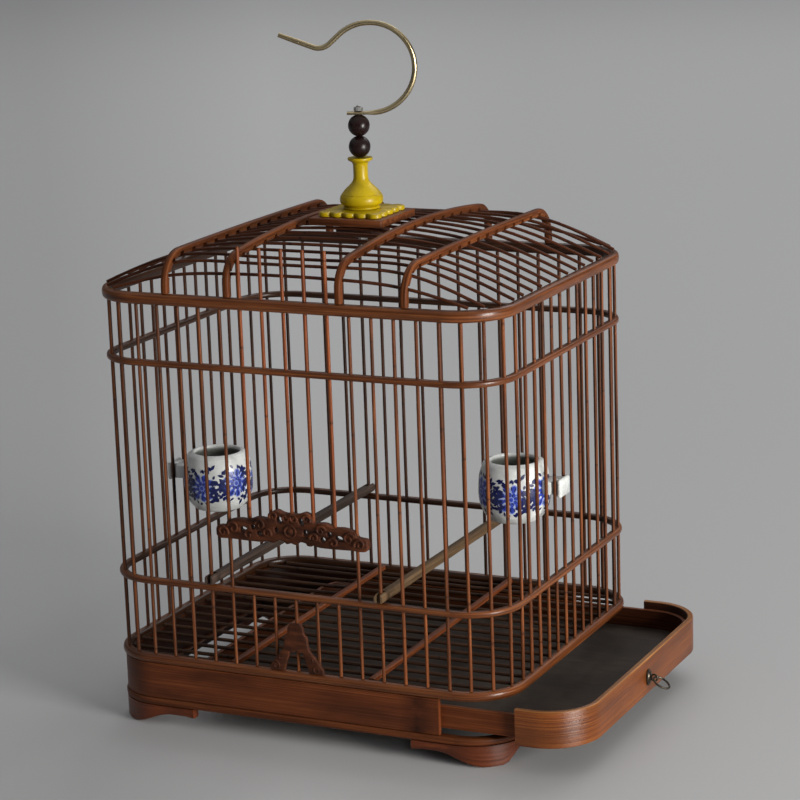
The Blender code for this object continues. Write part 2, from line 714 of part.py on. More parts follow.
def make_pull():
    back = EYE_RADIUS + EYE_STAND + ROSETTE_THICKNESS
    outline = [(ROSETTE_RADIUS * r, (ROSETTE_THICKNESS + ROSETTE_DOME) * z) for r, z in ROSETTE_SHARES]
    rosette = turned("pull_rosette", outline, 16, closed=False)
    eye = tube("pull_eye_loop", torus_points(EYE_RADIUS, 12, "XZ"), EYE_WIRE, 1, cyclic=True, as_tool=True)
    eye.data.transform(Matrix.Rotation(math.pi / 2, 4, "Y"))
    eye.data.transform(Matrix.Translation((0, 0, back)))
    stem_top = back - EYE_RADIUS + EYE_WIRE / 3
    stem_row = ((0, 0, ROSETTE_THICKNESS / 2), (0, 0, stem_top))
    stem = cylinders("pull_eye_stem", [stem_row], EYE_STEM_RADIUS, 8, as_tool=True)
    combine(rosette, stem, "UNION")
    combine(rosette, eye, "UNION")
    place(rosette, "bronze", (PULL_X - back, 0, PULL_Z), (0, math.pi / 2, 0))
    ring = tube("pull_ring", torus_points(PULL_RING_RADIUS, 20, "XY"), PULL_RING_WIRE, 1, cyclic=True)
    ring.data.transform(Matrix.Translation((PULL_RING_RADIUS, 0, 0)))
    place(ring, "bronze", (PULL_X, 0, PULL_Z), (0, math.radians(PULL_RING_DROOP), 0))


# Roof

class RibLine:
    # Leg, bend and shallow crown of one rib, from its front foot to the middle, with an offset to either side

    def __init__(self, height, bend, crown_angle):
        self.bend = bend
        self.tilt = math.radians(crown_angle)
        self.end_y = HALF_DEPTH - bend * (1 - math.sin(self.tilt))
        self.crown = self.end_y * math.tan(self.tilt) / 2
        self.height = height
        self.leg = height - self.crown - bend * math.cos(self.tilt)
        self.turn = math.pi / 2 - self.tilt
        self.stations = (self.leg, self.leg + bend * self.turn, self.leg + bend * self.turn + self.end_y)

    def point(self, station, offset):
        leg_end, bend_end, middle = self.stations
        if station <= leg_end:
            return (-(HALF_DEPTH + offset), station)
        if station <= bend_end:
            angle = (station - leg_end) / self.bend
            radius = self.bend + offset
            return (-(HALF_DEPTH - self.bend) - radius * math.cos(angle), self.leg + radius * math.sin(angle))
        y = -self.end_y + (station - bend_end)
        z = self.height - self.crown * (y / self.end_y) ** 2
        slope = -2 * self.crown * y / self.end_y ** 2
        norm = math.hypot(1, slope)
        return (y - offset * slope / norm, z + offset / norm)

    def station_at(self, y, offset):
        # The station of the front half whose offset point lies at the given depth
        low, high = 0, self.stations[2]
        for _ in range(50):
            middle = (low + high) / 2
            if self.point(middle, offset)[0] < y:
                low = middle
            else:
                high = middle
        return (low + high) / 2


def rib_lines():
    inner = RibLine(INNER_RIB_HEIGHT, INNER_RIB_BEND, INNER_RIB_CROWN)
    outer = RibLine(OUTER_RIB_HEIGHT, OUTER_RIB_BEND, OUTER_RIB_CROWN)
    return inner, outer


def roof_bar_y(angle):
    return STRAIGHT_Y + CORNER_RADIUS * math.cos(math.radians(angle))


def roof_bar_depths():
    # Distances of the bars from the middle line, from the front one inwards
    corner = [roof_bar_y(a) for a in ROOF_CORNER_ANGLES]
    return corner + [-y for y in side_bar_ys() if y < 0]


def bar_offset():
    return -RIB_DEPTH / 2 + ROOF_BAR_SEAT


def bar_height(line, depth):
    return line.point(line.station_at(-depth, bar_offset()), bar_offset())[1]


def smooth_line(xs, zs):
    # Natural cubic through the given points
    count = len(xs)
    matrix = np.zeros((count, count))
    right = np.zeros(count)
    matrix[0, 0] = matrix[-1, -1] = 1
    for i in range(1, count - 1):
        before, after = xs[i] - xs[i - 1], xs[i + 1] - xs[i]
        matrix[i, i - 1 : i + 2] = (before, 2 * (before + after), after)
        right[i] = 6 * ((zs[i + 1] - zs[i]) / after - (zs[i] - zs[i - 1]) / before)
    bends = np.linalg.solve(matrix, right)

    def height(x):
        i = min(max(int(np.searchsorted(xs, x)) - 1, 0), count - 2)
        step = xs[i + 1] - xs[i]
        left, rest = (xs[i + 1] - x) / step, (x - xs[i]) / step
        cubic = ((left ** 3 - left) * bends[i] + (rest ** 3 - rest) * bends[i + 1]) * step * step / 6
        return float(left * zs[i] + rest * zs[i + 1] + cubic)

    return height


def roof_arch(depth):
    # Corner points of one roof bar above the ring, from its left end to its right end
    inner, outer = rib_lines()
    reach = plan_half_width(depth, 0)
    end = ROOF_BAR_RADIUS + CLEAR
    heights = (end, bar_height(outer, depth), bar_height(inner, depth))
    knots = (-reach, -OUTER_RIB_PLACE, -INNER_RIB_PLACE, INNER_RIB_PLACE, OUTER_RIB_PLACE, reach)
    height = smooth_line(knots, heights + tuple(reversed(heights)))
    half = [-reach]
    for start, finish, steps in zip(knots[:3], (knots[1], knots[2], 0), ROOF_BAR_STEPS):
        half += [start + (finish - start) * i / steps for i in range(1, steps + 1)]
    return [(x, height(x)) for x in half + [-x for x in reversed(half[:-1])]]


def arch_height(points, x):
    return float(np.interp(x, [p[0] for p in points], [p[1] for p in points]))


def make_roof_bars():
    depths = roof_bar_depths()
    places = [-d for d in depths] + list(reversed(depths))
    for number, y in enumerate(places, start=1):
        points = [(x, 0, z) for x, z in roof_arch(abs(y))]
        bar = tube(f"roof_bar_{number:02d}", points, ROOF_BAR_RADIUS, 1)
        place(bar, "stained_bamboo", (0, y, RING_TOP))


def bend_stations(line):
    leg_end, bend_end, middle = line.stations
    return [0] + [leg_end + (bend_end - leg_end) * i / RIB_BEND_STEPS for i in range(RIB_BEND_STEPS + 1)]


def rib_upper_half(line):
    bend_end, middle = line.stations[1:]
    stations = bend_stations(line)
    stations += [bend_end + (middle - bend_end) * i / RIB_CROWN_STEPS for i in range(1, RIB_CROWN_STEPS)]
    return [line.point(station, RIB_DEPTH / 2) for station in stations]


def rib_lower_half(line, place_x):
    # The lower edge has a notch for each roof bar, which may cross it at a slant
    notches = []
    for depth in roof_bar_depths():
        points = roof_arch(depth)
        middle = arch_height(points, place_x)
        rise = max(abs(arch_height(points, place_x + s * RIB_WIDTH / 2) - middle) for s in (-1, 1))
        half = ROOF_BAR_RADIUS + 2 * CLEAR + rise
        deep = ROOF_BAR_SEAT + ROOF_BAR_RADIUS + CLEAR + rise
        notches.append((line.station_at(-depth, bar_offset()), half, deep))
    lower = -RIB_DEPTH / 2
    rows = [(s, lower) for s in bend_stations(line) if all(abs(s - at) > half + CLEAR for at, half, deep in notches)]
    for at, half, deep in notches:
        inside = half - CLEAR / 30
        rows += [(at - half, lower), (at - inside, lower + deep), (at + inside, lower + deep), (at + half, lower)]
    return [line.point(station, offset) for station, offset in sorted(rows)]


def make_rib(name, place_x, line):
    lower = rib_lower_half(line, abs(place_x))
    upper = rib_upper_half(line)
    front = list(reversed(upper)) + lower
    top = line.point(line.stations[2], RIB_DEPTH / 2)
    outline = [top] + front + [(-y, z) for y, z in reversed(front)]
    rib = flat_plate(name, [outline], RIB_WIDTH)
    rib.data.transform(Matrix.Rotation(math.pi / 2, 4, "Z") @ Matrix.Rotation(math.pi / 2, 4, "X"))
    place(rib, "stained_bamboo", (place_x - RIB_WIDTH / 2, 0, RING_TOP + CLEAR))


def make_ribs():
    inner, outer = rib_lines()
    make_rib("roof_rib_left_outer", -OUTER_RIB_PLACE, outer)
    make_rib("roof_rib_left_inner", -INNER_RIB_PLACE, inner)
    make_rib("roof_rib_right_inner", INNER_RIB_PLACE, inner)
    make_rib("roof_rib_right_outer", OUTER_RIB_PLACE, outer)


# Hanger

def drill_up(target, name, bottom, top):
    radius = ROD_RADIUS + CLEAR
    hole = cylinders(name, [((0, 0, bottom - CUT_OVERRUN), (0, 0, top + CUT_OVERRUN))], radius, 12, as_tool=True)
    return combine(target, hole, "DIFFERENCE")


def rod_hole():
    radius = ROD_RADIUS + CLEAR
    return ellipse(0, 0, radius, radius, 12)


def square(width):
    half = width / 2
    return [(-half, -half), (half, -half), (half, half), (-half, half)]


def petal_outline():
    # A square with a row of round lobes on each side and one on each corner
    pitch = PETAL_WIDTH / (PETAL_GAPS + 1)
    corner = PETAL_GAPS * pitch / 2
    lobes = [(-corner + i * pitch, 180 + PETAL_START_ANGLE, 360 - PETAL_START_ANGLE) for i in range(1, PETAL_GAPS)]
    lobes.append((corner, 180 + PETAL_START_ANGLE, 450 - PETAL_START_ANGLE))
    side = []
    for x, start, end in lobes:
        for i in range(PETAL_STEPS + 1):
            angle = math.radians(start + (end - start) * i / PETAL_STEPS)
            side.append((x + pitch / 2 * math.cos(angle), -corner + pitch / 2 * math.sin(angle)))
    outline = []
    for quarter in range(4):
        turn = Matrix.Rotation(quarter * math.pi / 2, 2)
        outline += [tuple(turn @ Vector(point)) for point in side]
    return outline


def ring_outline(outer):
    # Closed profile round the rod, from the outer line given top to bottom
    hole = ROD_RADIUS + CLEAR
    return outer + [(hole, outer[-1][1]), (hole, outer[0][1])]


def hook_points(level):
    centre = Vector((HOOK_SHIFT, level + HOOK_RADIUS))
    points = [Vector((0, level))]
    steps = 20
    for i in range(steps + 1):
        angle = math.radians(-90 + HOOK_SWEEP * i / steps)
        points.append(centre + HOOK_RADIUS * Vector((math.cos(angle), math.sin(angle))))
    heading = math.radians(HOOK_SWEEP)
    direction = Vector((math.cos(heading), math.sin(heading)))
    start = points[-1] + direction * HOOK_BACK_RUN
    points.append(start)
    side = Vector((direction.y, -direction.x))
    turn = math.radians(HOOK_CURL_TURN)
    for i in range(1, 6):
        angle = turn * i / 5
        points.append(start + HOOK_CURL_RADIUS * (direction * math.sin(angle) + side * (1 - math.cos(angle))))
    last = (points[-1] - points[-2]).normalized()
    points.append(points[-1] + last * HOOK_TIP)
    return [(p.x, 0, p.y) for p in points]


def bead_outline():
    outer = []
    for i in range(BEAD_STEPS + 1):
        angle = math.radians(BEAD_FLAT_ANGLE * (1 - 2 * i / BEAD_STEPS))
        outer.append((BEAD_RADIUS * math.cos(angle), BEAD_RADIUS * math.sin(angle)))
    return outer


def near_bar_ys():
    # Roof bars held between the block and the clamp
    return [y for y in side_bar_ys() if 0 < y < CLAMP_WIDTH / 2 + ROOF_BAR_RADIUS]


def make_hanger_stack():
    # From the roof bars up; returns the level of the hook's foot
    level = RING_TOP + arch_height(roof_arch(near_bar_ys()[0]), 0) + ROOF_BAR_RADIUS + CLEAR
    block = flat_plate("roof_block", [square(ROOF_BLOCK_WIDTH), rod_hole()], ROOF_BLOCK_HEIGHT)
    place(block, "stained_bamboo", (0, 0, level))
    level += ROOF_BLOCK_HEIGHT + CLEAR
    petal = flat_plate("petal_plate", [petal_outline(), rod_hole()], PETAL_HEIGHT)
    place(petal, "yellow_lacquer", (0, 0, level))
    level += PETAL_HEIGHT + CLEAR
    outer = [(VASE_RADIUS * r, VASE_HEIGHT * z) for r, z in VASE_SHARES]
    place(turned("vase", ring_outline(outer), 20, closed=True), "yellow_lacquer", (0, 0, level))
    level += VASE_HEIGHT + CLEAR
    outer = bead_outline()
    flat = outer[0][1]
    for name in ("bead_lower", "bead_upper"):
        place(turned(name, ring_outline(outer), 14, closed=True), "dark_bead", (0, 0, level + flat))
        level += 2 * flat + CLEAR
    return level


def make_hook(level):
    hook = tube("hook", hook_points(0), HOOK_WIRE, 2)
    foot_size = (HOOK_FOOT_LENGTH, HOOK_FOOT_WIDTH, HOOK_FOOT_HEIGHT)
    combine(hook, box("hook_foot", foot_size, (0, 0, 0), as_tool=True), "UNION")
    trim_height = HOOK_WIRE + CUT_OVERRUN
    for name, sign in (("hook_trim_above", 1), ("hook_trim_below", -1)):
        centre = (0, 0, sign * (HOOK_FOOT_HEIGHT / 2 + trim_height / 2))
        trim = box(name, (HOOK_FOOT_LENGTH, 2 * HOOK_FOOT_WIDTH, trim_height), centre, as_tool=True)
        combine(hook, trim, "DIFFERENCE")
    drill_up(hook, "hook_hole", -HOOK_FOOT_HEIGHT, HOOK_FOOT_HEIGHT)
    turn = (0, 0, math.radians(HOOK_TURN))
    place(hook, "brass_wire", (0, 0, level + HOOK_FOOT_HEIGHT / 2), turn)


def make_bolt(level):
    # The rod, with the clamp block, washer and nut under the roof bars made in one with it
    nut = cylinders("hook_nut", [((0, 0, 0), (0, 0, NUT_HEIGHT))], NUT_RADIUS, 6)
    place(drill_up(nut, "hook_nut_hole", 0, NUT_HEIGHT), "steel", (0, 0, level))
    lowest = min(arch_height(roof_arch(y), CLAMP_WIDTH / 2) for y in near_bar_ys())
    clamp_top = RING_TOP + lowest - ROOF_BAR_RADIUS - 2 * CLEAR
    head_bottom = clamp_top - CLAMP_HEIGHT - WASHER_HEIGHT - NUT_HEIGHT
    length = level + NUT_HEIGHT + ROD_END - head_bottom
    bolt = cylinders("hanger_bolt", [((0, 0, NUT_HEIGHT / 2), (0, 0, length))], ROD_RADIUS, 12)
    head_row = ((0, 0, 0), (0, 0, NUT_HEIGHT + CLEAR))
    combine(bolt, cylinders("hanger_bolt_nut", [head_row], NUT_RADIUS, 6, as_tool=True), "UNION")
    washer_row = ((0, 0, NUT_HEIGHT), (0, 0, NUT_HEIGHT + WASHER_HEIGHT + CLEAR))
    combine(bolt, cylinders("hanger_bolt_washer", [washer_row], WASHER_RADIUS, 16, as_tool=True), "UNION")
    centre = (0, 0, NUT_HEIGHT + WASHER_HEIGHT + CLAMP_HEIGHT / 2)
    clamp = box("hanger_bolt_clamp", (CLAMP_WIDTH, CLAMP_WIDTH, CLAMP_HEIGHT), centre, as_tool=True)
    place(combine(bolt, clamp, "UNION"), "steel", (0, 0, head_bottom))


def make_hanger():
    level = make_hanger_stack()
    make_hook(level)
    make_bolt(level + HOOK_FOOT_HEIGHT + CLEAR)


# Door

def ellipse(centre_x, centre_y, half_x, half_y, count):
    points = []
    for i in range(count):
        angle = 2 * math.pi * i / count
        points.append((centre_x + half_x * math.cos(angle), centre_y + half_y * math.sin(angle)))
    return points


def mirrored(points):
    # A closed outline from its right half, given from the bottom middle round to the top middle
    return points + [(-x, y) for x, y in reversed(points) if x > 0]


def upright(item, front, thickness):
    # Stands a flat plate up in XZ with its front face at y = front
    turn = Matrix.Rotation(math.pi / 2, 4, "X")
    item.data.transform(Matrix.Translation((0, front + thickness, 0)) @ turn)


def make_door():
    half, tall = PLAQUE_HALF_WIDTH, PLAQUE_HEIGHT
    right = [(half * x, tall * y) for x, y in reversed(PLAQUE_FOOT_SHARES)]
    right += [(half * x, tall * y) for x, y in PLAQUE_SHARES]
    outlines = [mirrored(right)]
    for x, y, wide, high in PIERCING_SHARES:
        for sign in (-1, 1):
            outlines.append(ellipse(sign * half * x, tall * y, half * wide / 2, tall * high, 8))
    door = flat_plate("door", outlines, PLAQUE_THICKNESS)
    front = -PLAQUE_THICKNESS * PLAQUE_FRONT_SHARE
    upright(door, front, PLAQUE_THICKNESS)
    boss_level = tall * BOSS_LEVEL_SHARE
    boss_rows = [((0, front - BOSS_HEIGHT, boss_level), (0, 0, boss_level))]
    combine(door, cylinders("door_boss", boss_rows, BOSS_RADIUS, 14, as_tool=True), "UNION")
    bottom = LOWER_HOOP + HOOP_HEIGHT / 2 + CLEAR + DOOR_LIFT
    top = RING_TOP + DOOR_BAR_TOP + DOOR_LIFT
    rows = [((x, 0, tall * DOOR_BAR_SEAT_SHARE), (x, 0, top - bottom)) for x in door_bar_xs()]
    combine(door, cylinders("door_bars", rows, BAR_RADIUS, BAR_SIDES, as_tool=True), "UNION")
    guides = [front_bar_x(s * DOOR_SIDE_GAPS) for s in (-1, 1)]
    rows = [((x, 0, -CUT_OVERRUN), (x, 0, tall)) for x in guides]
    holes = cylinders("door_guide_holes", rows, bar_hole_radius(), BAR_HOLE_SIDES, as_tool=True)
    combine(door, holes, "DIFFERENCE")
    place(door, "carved_wood", (0, -HALF_DEPTH, bottom))


def make_carving():
    half, tall = CARVING_HALF_WIDTH, CARVING_HEIGHT
    right = [(half * x, tall * y) for x, y in CARVING_SHARES]
    inner = [(half * x, tall * y) for x, y in CARVING_INNER_SHARES]
    loop = right + [(-x, y) for x, y in reversed(right) if x > 0]
    loop += [(-x, y) for x, y in reversed(inner) if x > 0] + inner
    carving = flat_plate("door_foot_carving", [loop], CARVING_THICKNESS)
    front = -SILL_WIDTH / 2
    upright(carving, front, CARVING_THICKNESS)
    slot_depth = CARVING_THICKNESS + CUT_OVERRUN
    bm = bmesh.new()
    for x in (-FRONT_PITCH, 0, FRONT_PITCH):
        centre = (x, -BAR_RADIUS - CLEAR + slot_depth / 2, tall / 2)
        size = (2 * (BAR_RADIUS + CLEAR), slot_depth, tall + 2 * CUT_OVERRUN, 1)
        bmesh.ops.create_cube(bm, size=1, matrix=Matrix.Translation(centre) @ Matrix.Diagonal(size))
    combine(carving, mesh_from("carving_slots", bm, as_tool=True), "DIFFERENCE")
    place(carving, "carved_wood", (0, -HALF_DEPTH, SILL_TOP + CLEAR))


# Perches and cups

def make_perch(name, sign):
    half = HALF_DEPTH + PERCH_OVERHANG
    perch = cylinders(name, [((0, -half, 0), (0, half, 0))], PERCH_RADIUS, 10)
    bm = bmesh.new()
    for end in (-1, 1):
        centre = (0, end * (half - PERCH_SLOT_DEPTH / 2 + CUT_OVERRUN / 2), 0)
        size = (2 * (BAR_RADIUS + CLEAR), PERCH_SLOT_DEPTH + CUT_OVERRUN, 2 * PERCH_RADIUS + 2 * CUT_OVERRUN, 1)
        bmesh.ops.create_cube(bm, size=1, matrix=Matrix.Translation(centre) @ Matrix.Diagonal(size))
    combine(perch, mesh_from(name + "_forks", bm, as_tool=True), "DIFFERENCE")
    level = LOWER_HOOP + HOOP_HEIGHT / 2 + CLEAR + PERCH_RADIUS
    place(perch, "perch_wood", (sign * front_bar_x(PERCH_BAR), 0, level))


def make_cup(name, sign, rise):
    outer = [(CUP_RADIUS * r, CUP_HEIGHT * z) for r, z in reversed(CUP_SHARES)]
    mouth = CUP_RADIUS * CUP_RIM_SHARE
    inner = [(0, CUP_WALL)]
    for r, z in CUP_SHARES[1:-1]:
        inner.append((CUP_RADIUS * r - CUP_WALL, CUP_WALL + (CUP_HEIGHT - CUP_WALL) * z))
    inner += [(mouth, CUP_HEIGHT - CUP_WALL / 3), (mouth + CUP_WALL / 3, CUP_HEIGHT + CUP_WALL / 4)]
    cup = turned(name, inner + outer + [(0, 0)], 24, closed=False)
    centre_z = CUP_HEIGHT * LUG_HEIGHT_SHARE
    start = CUP_RADIUS - CUP_WALL / 2
    block_near = CUP_STAND_OFF + BAR_RADIUS + CLEAR
    block_far = block_near + LUG_BLOCK_THICKNESS
    neck_width = SIDE_PITCH - 2 * (BAR_RADIUS + CLEAR)
    neck_size = (block_near - start + LUG_BLOCK_THICKNESS / 2, neck_width, LUG_NECK_HEIGHT)
    neck_centre = (sign * (start + neck_size[0] / 2), 0, centre_z)
    combine(cup, box(name + "_neck", neck_size, neck_centre, as_tool=True), "UNION")
    shoulder_length = CUP_STAND_OFF - BAR_RADIUS - CLEAR - start
    shoulder_size = (shoulder_length, LUG_BLOCK_WIDTH, LUG_NECK_HEIGHT - LUG_SHOULDER_STEP)
    shoulder_centre = (sign * (start + shoulder_length / 2), 0, centre_z)
    combine(cup, box(name + "_shoulder", shoulder_size, shoulder_centre, as_tool=True), "UNION")
    block_size = (LUG_BLOCK_THICKNESS, LUG_BLOCK_WIDTH, LUG_BLOCK_HEIGHT)
    block_centre = (sign * (block_near + block_far) / 2, 0, centre_z)
    combine(cup, box(name + "_lug", block_size, block_centre, as_tool=True), "UNION")
    place(cup, "porcelain", (sign * (HALF_WIDTH - CUP_STAND_OFF), CUP_GAP_INDEX * SIDE_PITCH, SILL_TOP + rise))


def build():
    clear_scene()
    make_collections()
    make_materials()
    for place_name, signs in CORNERS.items():
        make_foot("foot_" + place_name, *signs)
    make_rail()
    make_band()
    make_rings()
    make_grate()
    make_walls()
    make_front_wall()
    make_ribs()
    make_roof_bars()
    make_hanger()
    make_door()
    make_carving()
    make_tray()
    make_pull()
    make_perch("perch_left", -1)
    make_perch("perch_right", 1)
    make_cup("cup_left", -1, CUP_LEFT_RISE)
    make_cup("cup_right", 1, CUP_RIGHT_RISE)


build()
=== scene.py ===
import math
import random

import bmesh
import bpy
from mathutils import Matrix, Vector


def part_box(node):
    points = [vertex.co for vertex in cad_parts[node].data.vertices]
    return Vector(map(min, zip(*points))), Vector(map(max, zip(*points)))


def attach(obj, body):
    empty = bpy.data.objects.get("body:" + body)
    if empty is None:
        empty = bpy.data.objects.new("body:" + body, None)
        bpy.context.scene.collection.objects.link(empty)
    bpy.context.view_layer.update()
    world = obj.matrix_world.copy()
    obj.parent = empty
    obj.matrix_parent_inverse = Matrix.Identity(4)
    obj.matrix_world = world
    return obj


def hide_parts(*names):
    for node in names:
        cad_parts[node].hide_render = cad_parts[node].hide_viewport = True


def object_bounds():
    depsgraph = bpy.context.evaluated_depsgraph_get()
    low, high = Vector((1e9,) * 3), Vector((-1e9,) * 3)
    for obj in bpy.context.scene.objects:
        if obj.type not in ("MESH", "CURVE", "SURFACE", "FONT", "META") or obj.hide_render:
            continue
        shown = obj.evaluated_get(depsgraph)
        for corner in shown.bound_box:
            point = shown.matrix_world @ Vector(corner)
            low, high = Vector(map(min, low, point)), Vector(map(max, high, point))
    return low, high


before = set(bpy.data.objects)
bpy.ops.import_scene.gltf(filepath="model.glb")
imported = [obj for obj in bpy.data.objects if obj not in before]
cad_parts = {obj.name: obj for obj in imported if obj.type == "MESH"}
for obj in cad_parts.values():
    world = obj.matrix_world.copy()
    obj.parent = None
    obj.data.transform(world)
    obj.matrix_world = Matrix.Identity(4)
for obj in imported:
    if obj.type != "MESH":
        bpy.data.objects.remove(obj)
cadBounds = [list(map(float, corner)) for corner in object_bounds()]
scene = bpy.context.scene
print("frame loaded")

# the cage's plan, in metres; lead is the part of a bar gap between the end of a flat and its first bar
plan = {"halfWidth": 0.1585, "halfDepth": 0.130, "corner": 0.036, "frontGaps": 14, "sideGaps": 11, "lead": 0.2,
        "railHeight": 0.0052, "lowerHoop": 0.0565, "upperHoop": 0.2205}
# the boards round the base and the tray, in metres; opening is how far out the tray stands in the photographed place
base = {"ringWidth": 0.0078, "ringPower": 2.9, "sillWidth": 0.0074, "sillPower": 2.5, "railWidth": 0.009,
        "railProud": 0.003, "railEdge": 0.0018, "bandProud": 0.002, "bandThickness": 0.0045, "bandEdge": 0.0009}
tray = {"opening": 0.058, "wall": 0.0035, "wallEdge": 0.0008, "clear": 0.0003, "frontEdge": 0.0010,
        "boardEdge": 0.0015}
seam = 0.0003  # room between two pieces that are glued together
railLow, railHigh = (list(corner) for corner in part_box("base_rail"))
railHigh[2] = railLow[2] + plan["railHeight"]  # the node's box also holds the runner strips
ringLow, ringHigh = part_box("top_ring")
sillLow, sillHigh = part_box("sill_ring")
bandLow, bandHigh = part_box("base_band")
frontLow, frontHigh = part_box("tray_front")
wallLow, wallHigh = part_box("tray_wall")
centreX = (railLow[0] + railHigh[0]) / 2
straightX = plan["halfWidth"] - plan["corner"]
straightY = plan["halfDepth"] - plan["corner"]
frontPitch = 2 * straightX / (plan["frontGaps"] + 2 * plan["lead"])
sidePitch = 2 * straightY / (plan["sideGaps"] + 2 * plan["lead"])
sideBars = [(i - plan["sideGaps"] / 2) * sidePitch for i in range(plan["sideGaps"] + 1)]
lowerHoopZ, upperHoopZ = sillHigh[2] + plan["lowerHoop"], sillHigh[2] + plan["upperHoop"]


def addPiece(name, bm, body, look, replaced, sharpFrom):
    # turns drawn faces into one visible piece that rides on its body
    bmesh.ops.recalc_face_normals(bm, faces=bm.faces)
    mesh = bpy.data.meshes.new(name)
    bm.to_mesh(mesh)
    bm.free()
    mesh.shade_smooth()
    mesh.set_sharp_from_angle(angle=math.radians(sharpFrom))
    mesh.materials.append(looks[look])
    piece = bpy.data.objects.new(name, mesh)
    scene.collection.objects.link(piece)
    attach(piece, body)
    for node in replaced:
        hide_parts(node)


def drawPiece(name, body, look, replaced, fill, sharpFrom=50):
    # fill draws the faces and their grain map: u runs along the fibres, v across them
    bm = bmesh.new()
    fill(bm, bm.loops.layers.uv.new("grain"))
    addPiece(name, bm, body, look, replaced, sharpFrom)


def levelOf(low, high):
    # middle level and half height of a node's box
    return (low[2] + high[2]) / 2, (high[2] - low[2]) / 2


def circleSteps(count, shift=0.0):
    # cosine and sine at even steps round a full turn
    angles = [2 * math.pi * (i + shift) / count for i in range(count)]
    return [(math.cos(a), math.sin(a)) for a in angles]


def closedOutline(halfW, halfH, power, count, shift=0.5):
    # superellipse, a section with soft corners
    def soften(share):
        return math.copysign(abs(share) ** (2 / power), share)

    return [(halfW * soften(c), halfH * soften(s)) for c, s in circleSteps(count, shift)]


def roundedBox(halfW, halfH, radius):
    # rectangle with round corners, counterclockwise from the upper right one
    points = []
    for cx, cy, start in ((1, 1, 0), (-1, 1, 90), (-1, -1, 180), (1, -1, 270)):
        for degrees in (start, start + 30, start + 60, start + 90):
            a = math.radians(degrees)
            points.append((cx * (halfW - radius) + radius * math.cos(a), cy * (halfH - radius) + radius * math.sin(a)))
    return points


def sectionLength(section):
    return sum(math.dist(section[i], section[i - 1]) for i in range(len(section)))


def skinRings(bm, uvLayer, rings, us, perimeter, vShift=0.0, closed=False):
    # joins neighbouring rings of vertices with quads; u runs along, v around
    count, total = len(rings[0]), len(rings)
    sides = [(rings[0][(j + 1) % count].co - rings[0][j].co).length for j in range(count)]
    around = [vShift + perimeter * sum(sides[:j]) / sum(sides) for j in range(count + 1)]
    for i in range(total if closed else total - 1):
        a, b = rings[i], rings[(i + 1) % total]
        for j in range(count):
            k = (j + 1) % count
            face = bm.faces.new((a[j], b[j], b[k], a[k]))
            corner = ((us[i], around[j]), (us[i + 1], around[j]), (us[i + 1], around[j + 1]), (us[i], around[j + 1]))
            for loop, uv in zip(face.loops, corner):
                loop[uvLayer].uv = uv
    if not closed:
        for ring in (rings[0][::-1], rings[-1]):
            for loop in bm.faces.new(ring).loops:
                loop[uvLayer].uv = (loop.vert.co.x + loop.vert.co.z * 0.3, loop.vert.co.y)


def sweepLevel(bm, uvLayer, path, section, z, closed, uShift):
    # carries a section along a level path; section x is outwards, section y is up
    rings, us, u = [], [], uShift
    count = len(path)
    for i, (x, y) in enumerate(path):
        before = path[i - 1] if (closed or i) else path[i]
        after = path[(i + 1) % count] if (closed or i < count - 1) else path[i]
        here = Vector((after[0] - before[0], after[1] - before[1])).normalized()
        stretch = 1.0
        if closed or 0 < i < count - 1:
            first = Vector((x - before[0], y - before[1])).normalized()
            stretch = 1 / max(here.dot(first), 0.5)
        normal = Vector((here.y, -here.x)) * stretch
        rings.append([bm.verts.new((centreX + x + normal.x * sx, y + normal.y * sx, z + sy)) for sx, sy in section])
        us.append(u)
        u += math.dist((x, y), path[(i + 1) % count])
    us.append(u)
    skinRings(bm, uvLayer, rings, us, sectionLength(section), closed=closed)


def sweptPiece(name, body, look, replaced, path, section, z, closed=True, uShift=0.0):
    def fill(bm, uvLayer):
        sweepLevel(bm, uvLayer, path, section, z, closed, uShift)

    drawPiece(name, body, look, replaced, fill)


def tubeAlong(bm, uvLayer, points, radius, sides, uShift=0.0, closed=False):
    # a round tube through 3D points; radius is one number, or a list with one for each point
    rings, us, u = [], [], uShift
    count = len(points)
    normal = None
    for i, point in enumerate(points):
        p = Vector(point)
        before = Vector(points[i - 1]) if (closed or i) else p
        after = Vector(points[(i + 1) % count]) if (closed or i < count - 1) else p
        along = (after - before).normalized()
        if normal is None:
            guide = Vector((0, 0, 1)) if abs(along.z) < 0.9 else Vector((0, 1, 0))
            normal = along.cross(guide).normalized()
        normal = (normal - along * normal.dot(along)).normalized()
        side = along.cross(normal)
        r = radius[i] if isinstance(radius, list) else radius
        rings.append([bm.verts.new(p + normal * (r * c) + side * (r * s)) for c, s in circleSteps(sides, 0.5)])
        us.append(u)
        u += (Vector(points[(i + 1) % count]) - p).length
    us.append(u)
    grainRound = 2 * math.pi * 0.002  # the same for all tubes, so that the fibres are equally fine on each
    skinRings(bm, uvLayer, rings, us, grainRound, uShift * 0.37, closed)


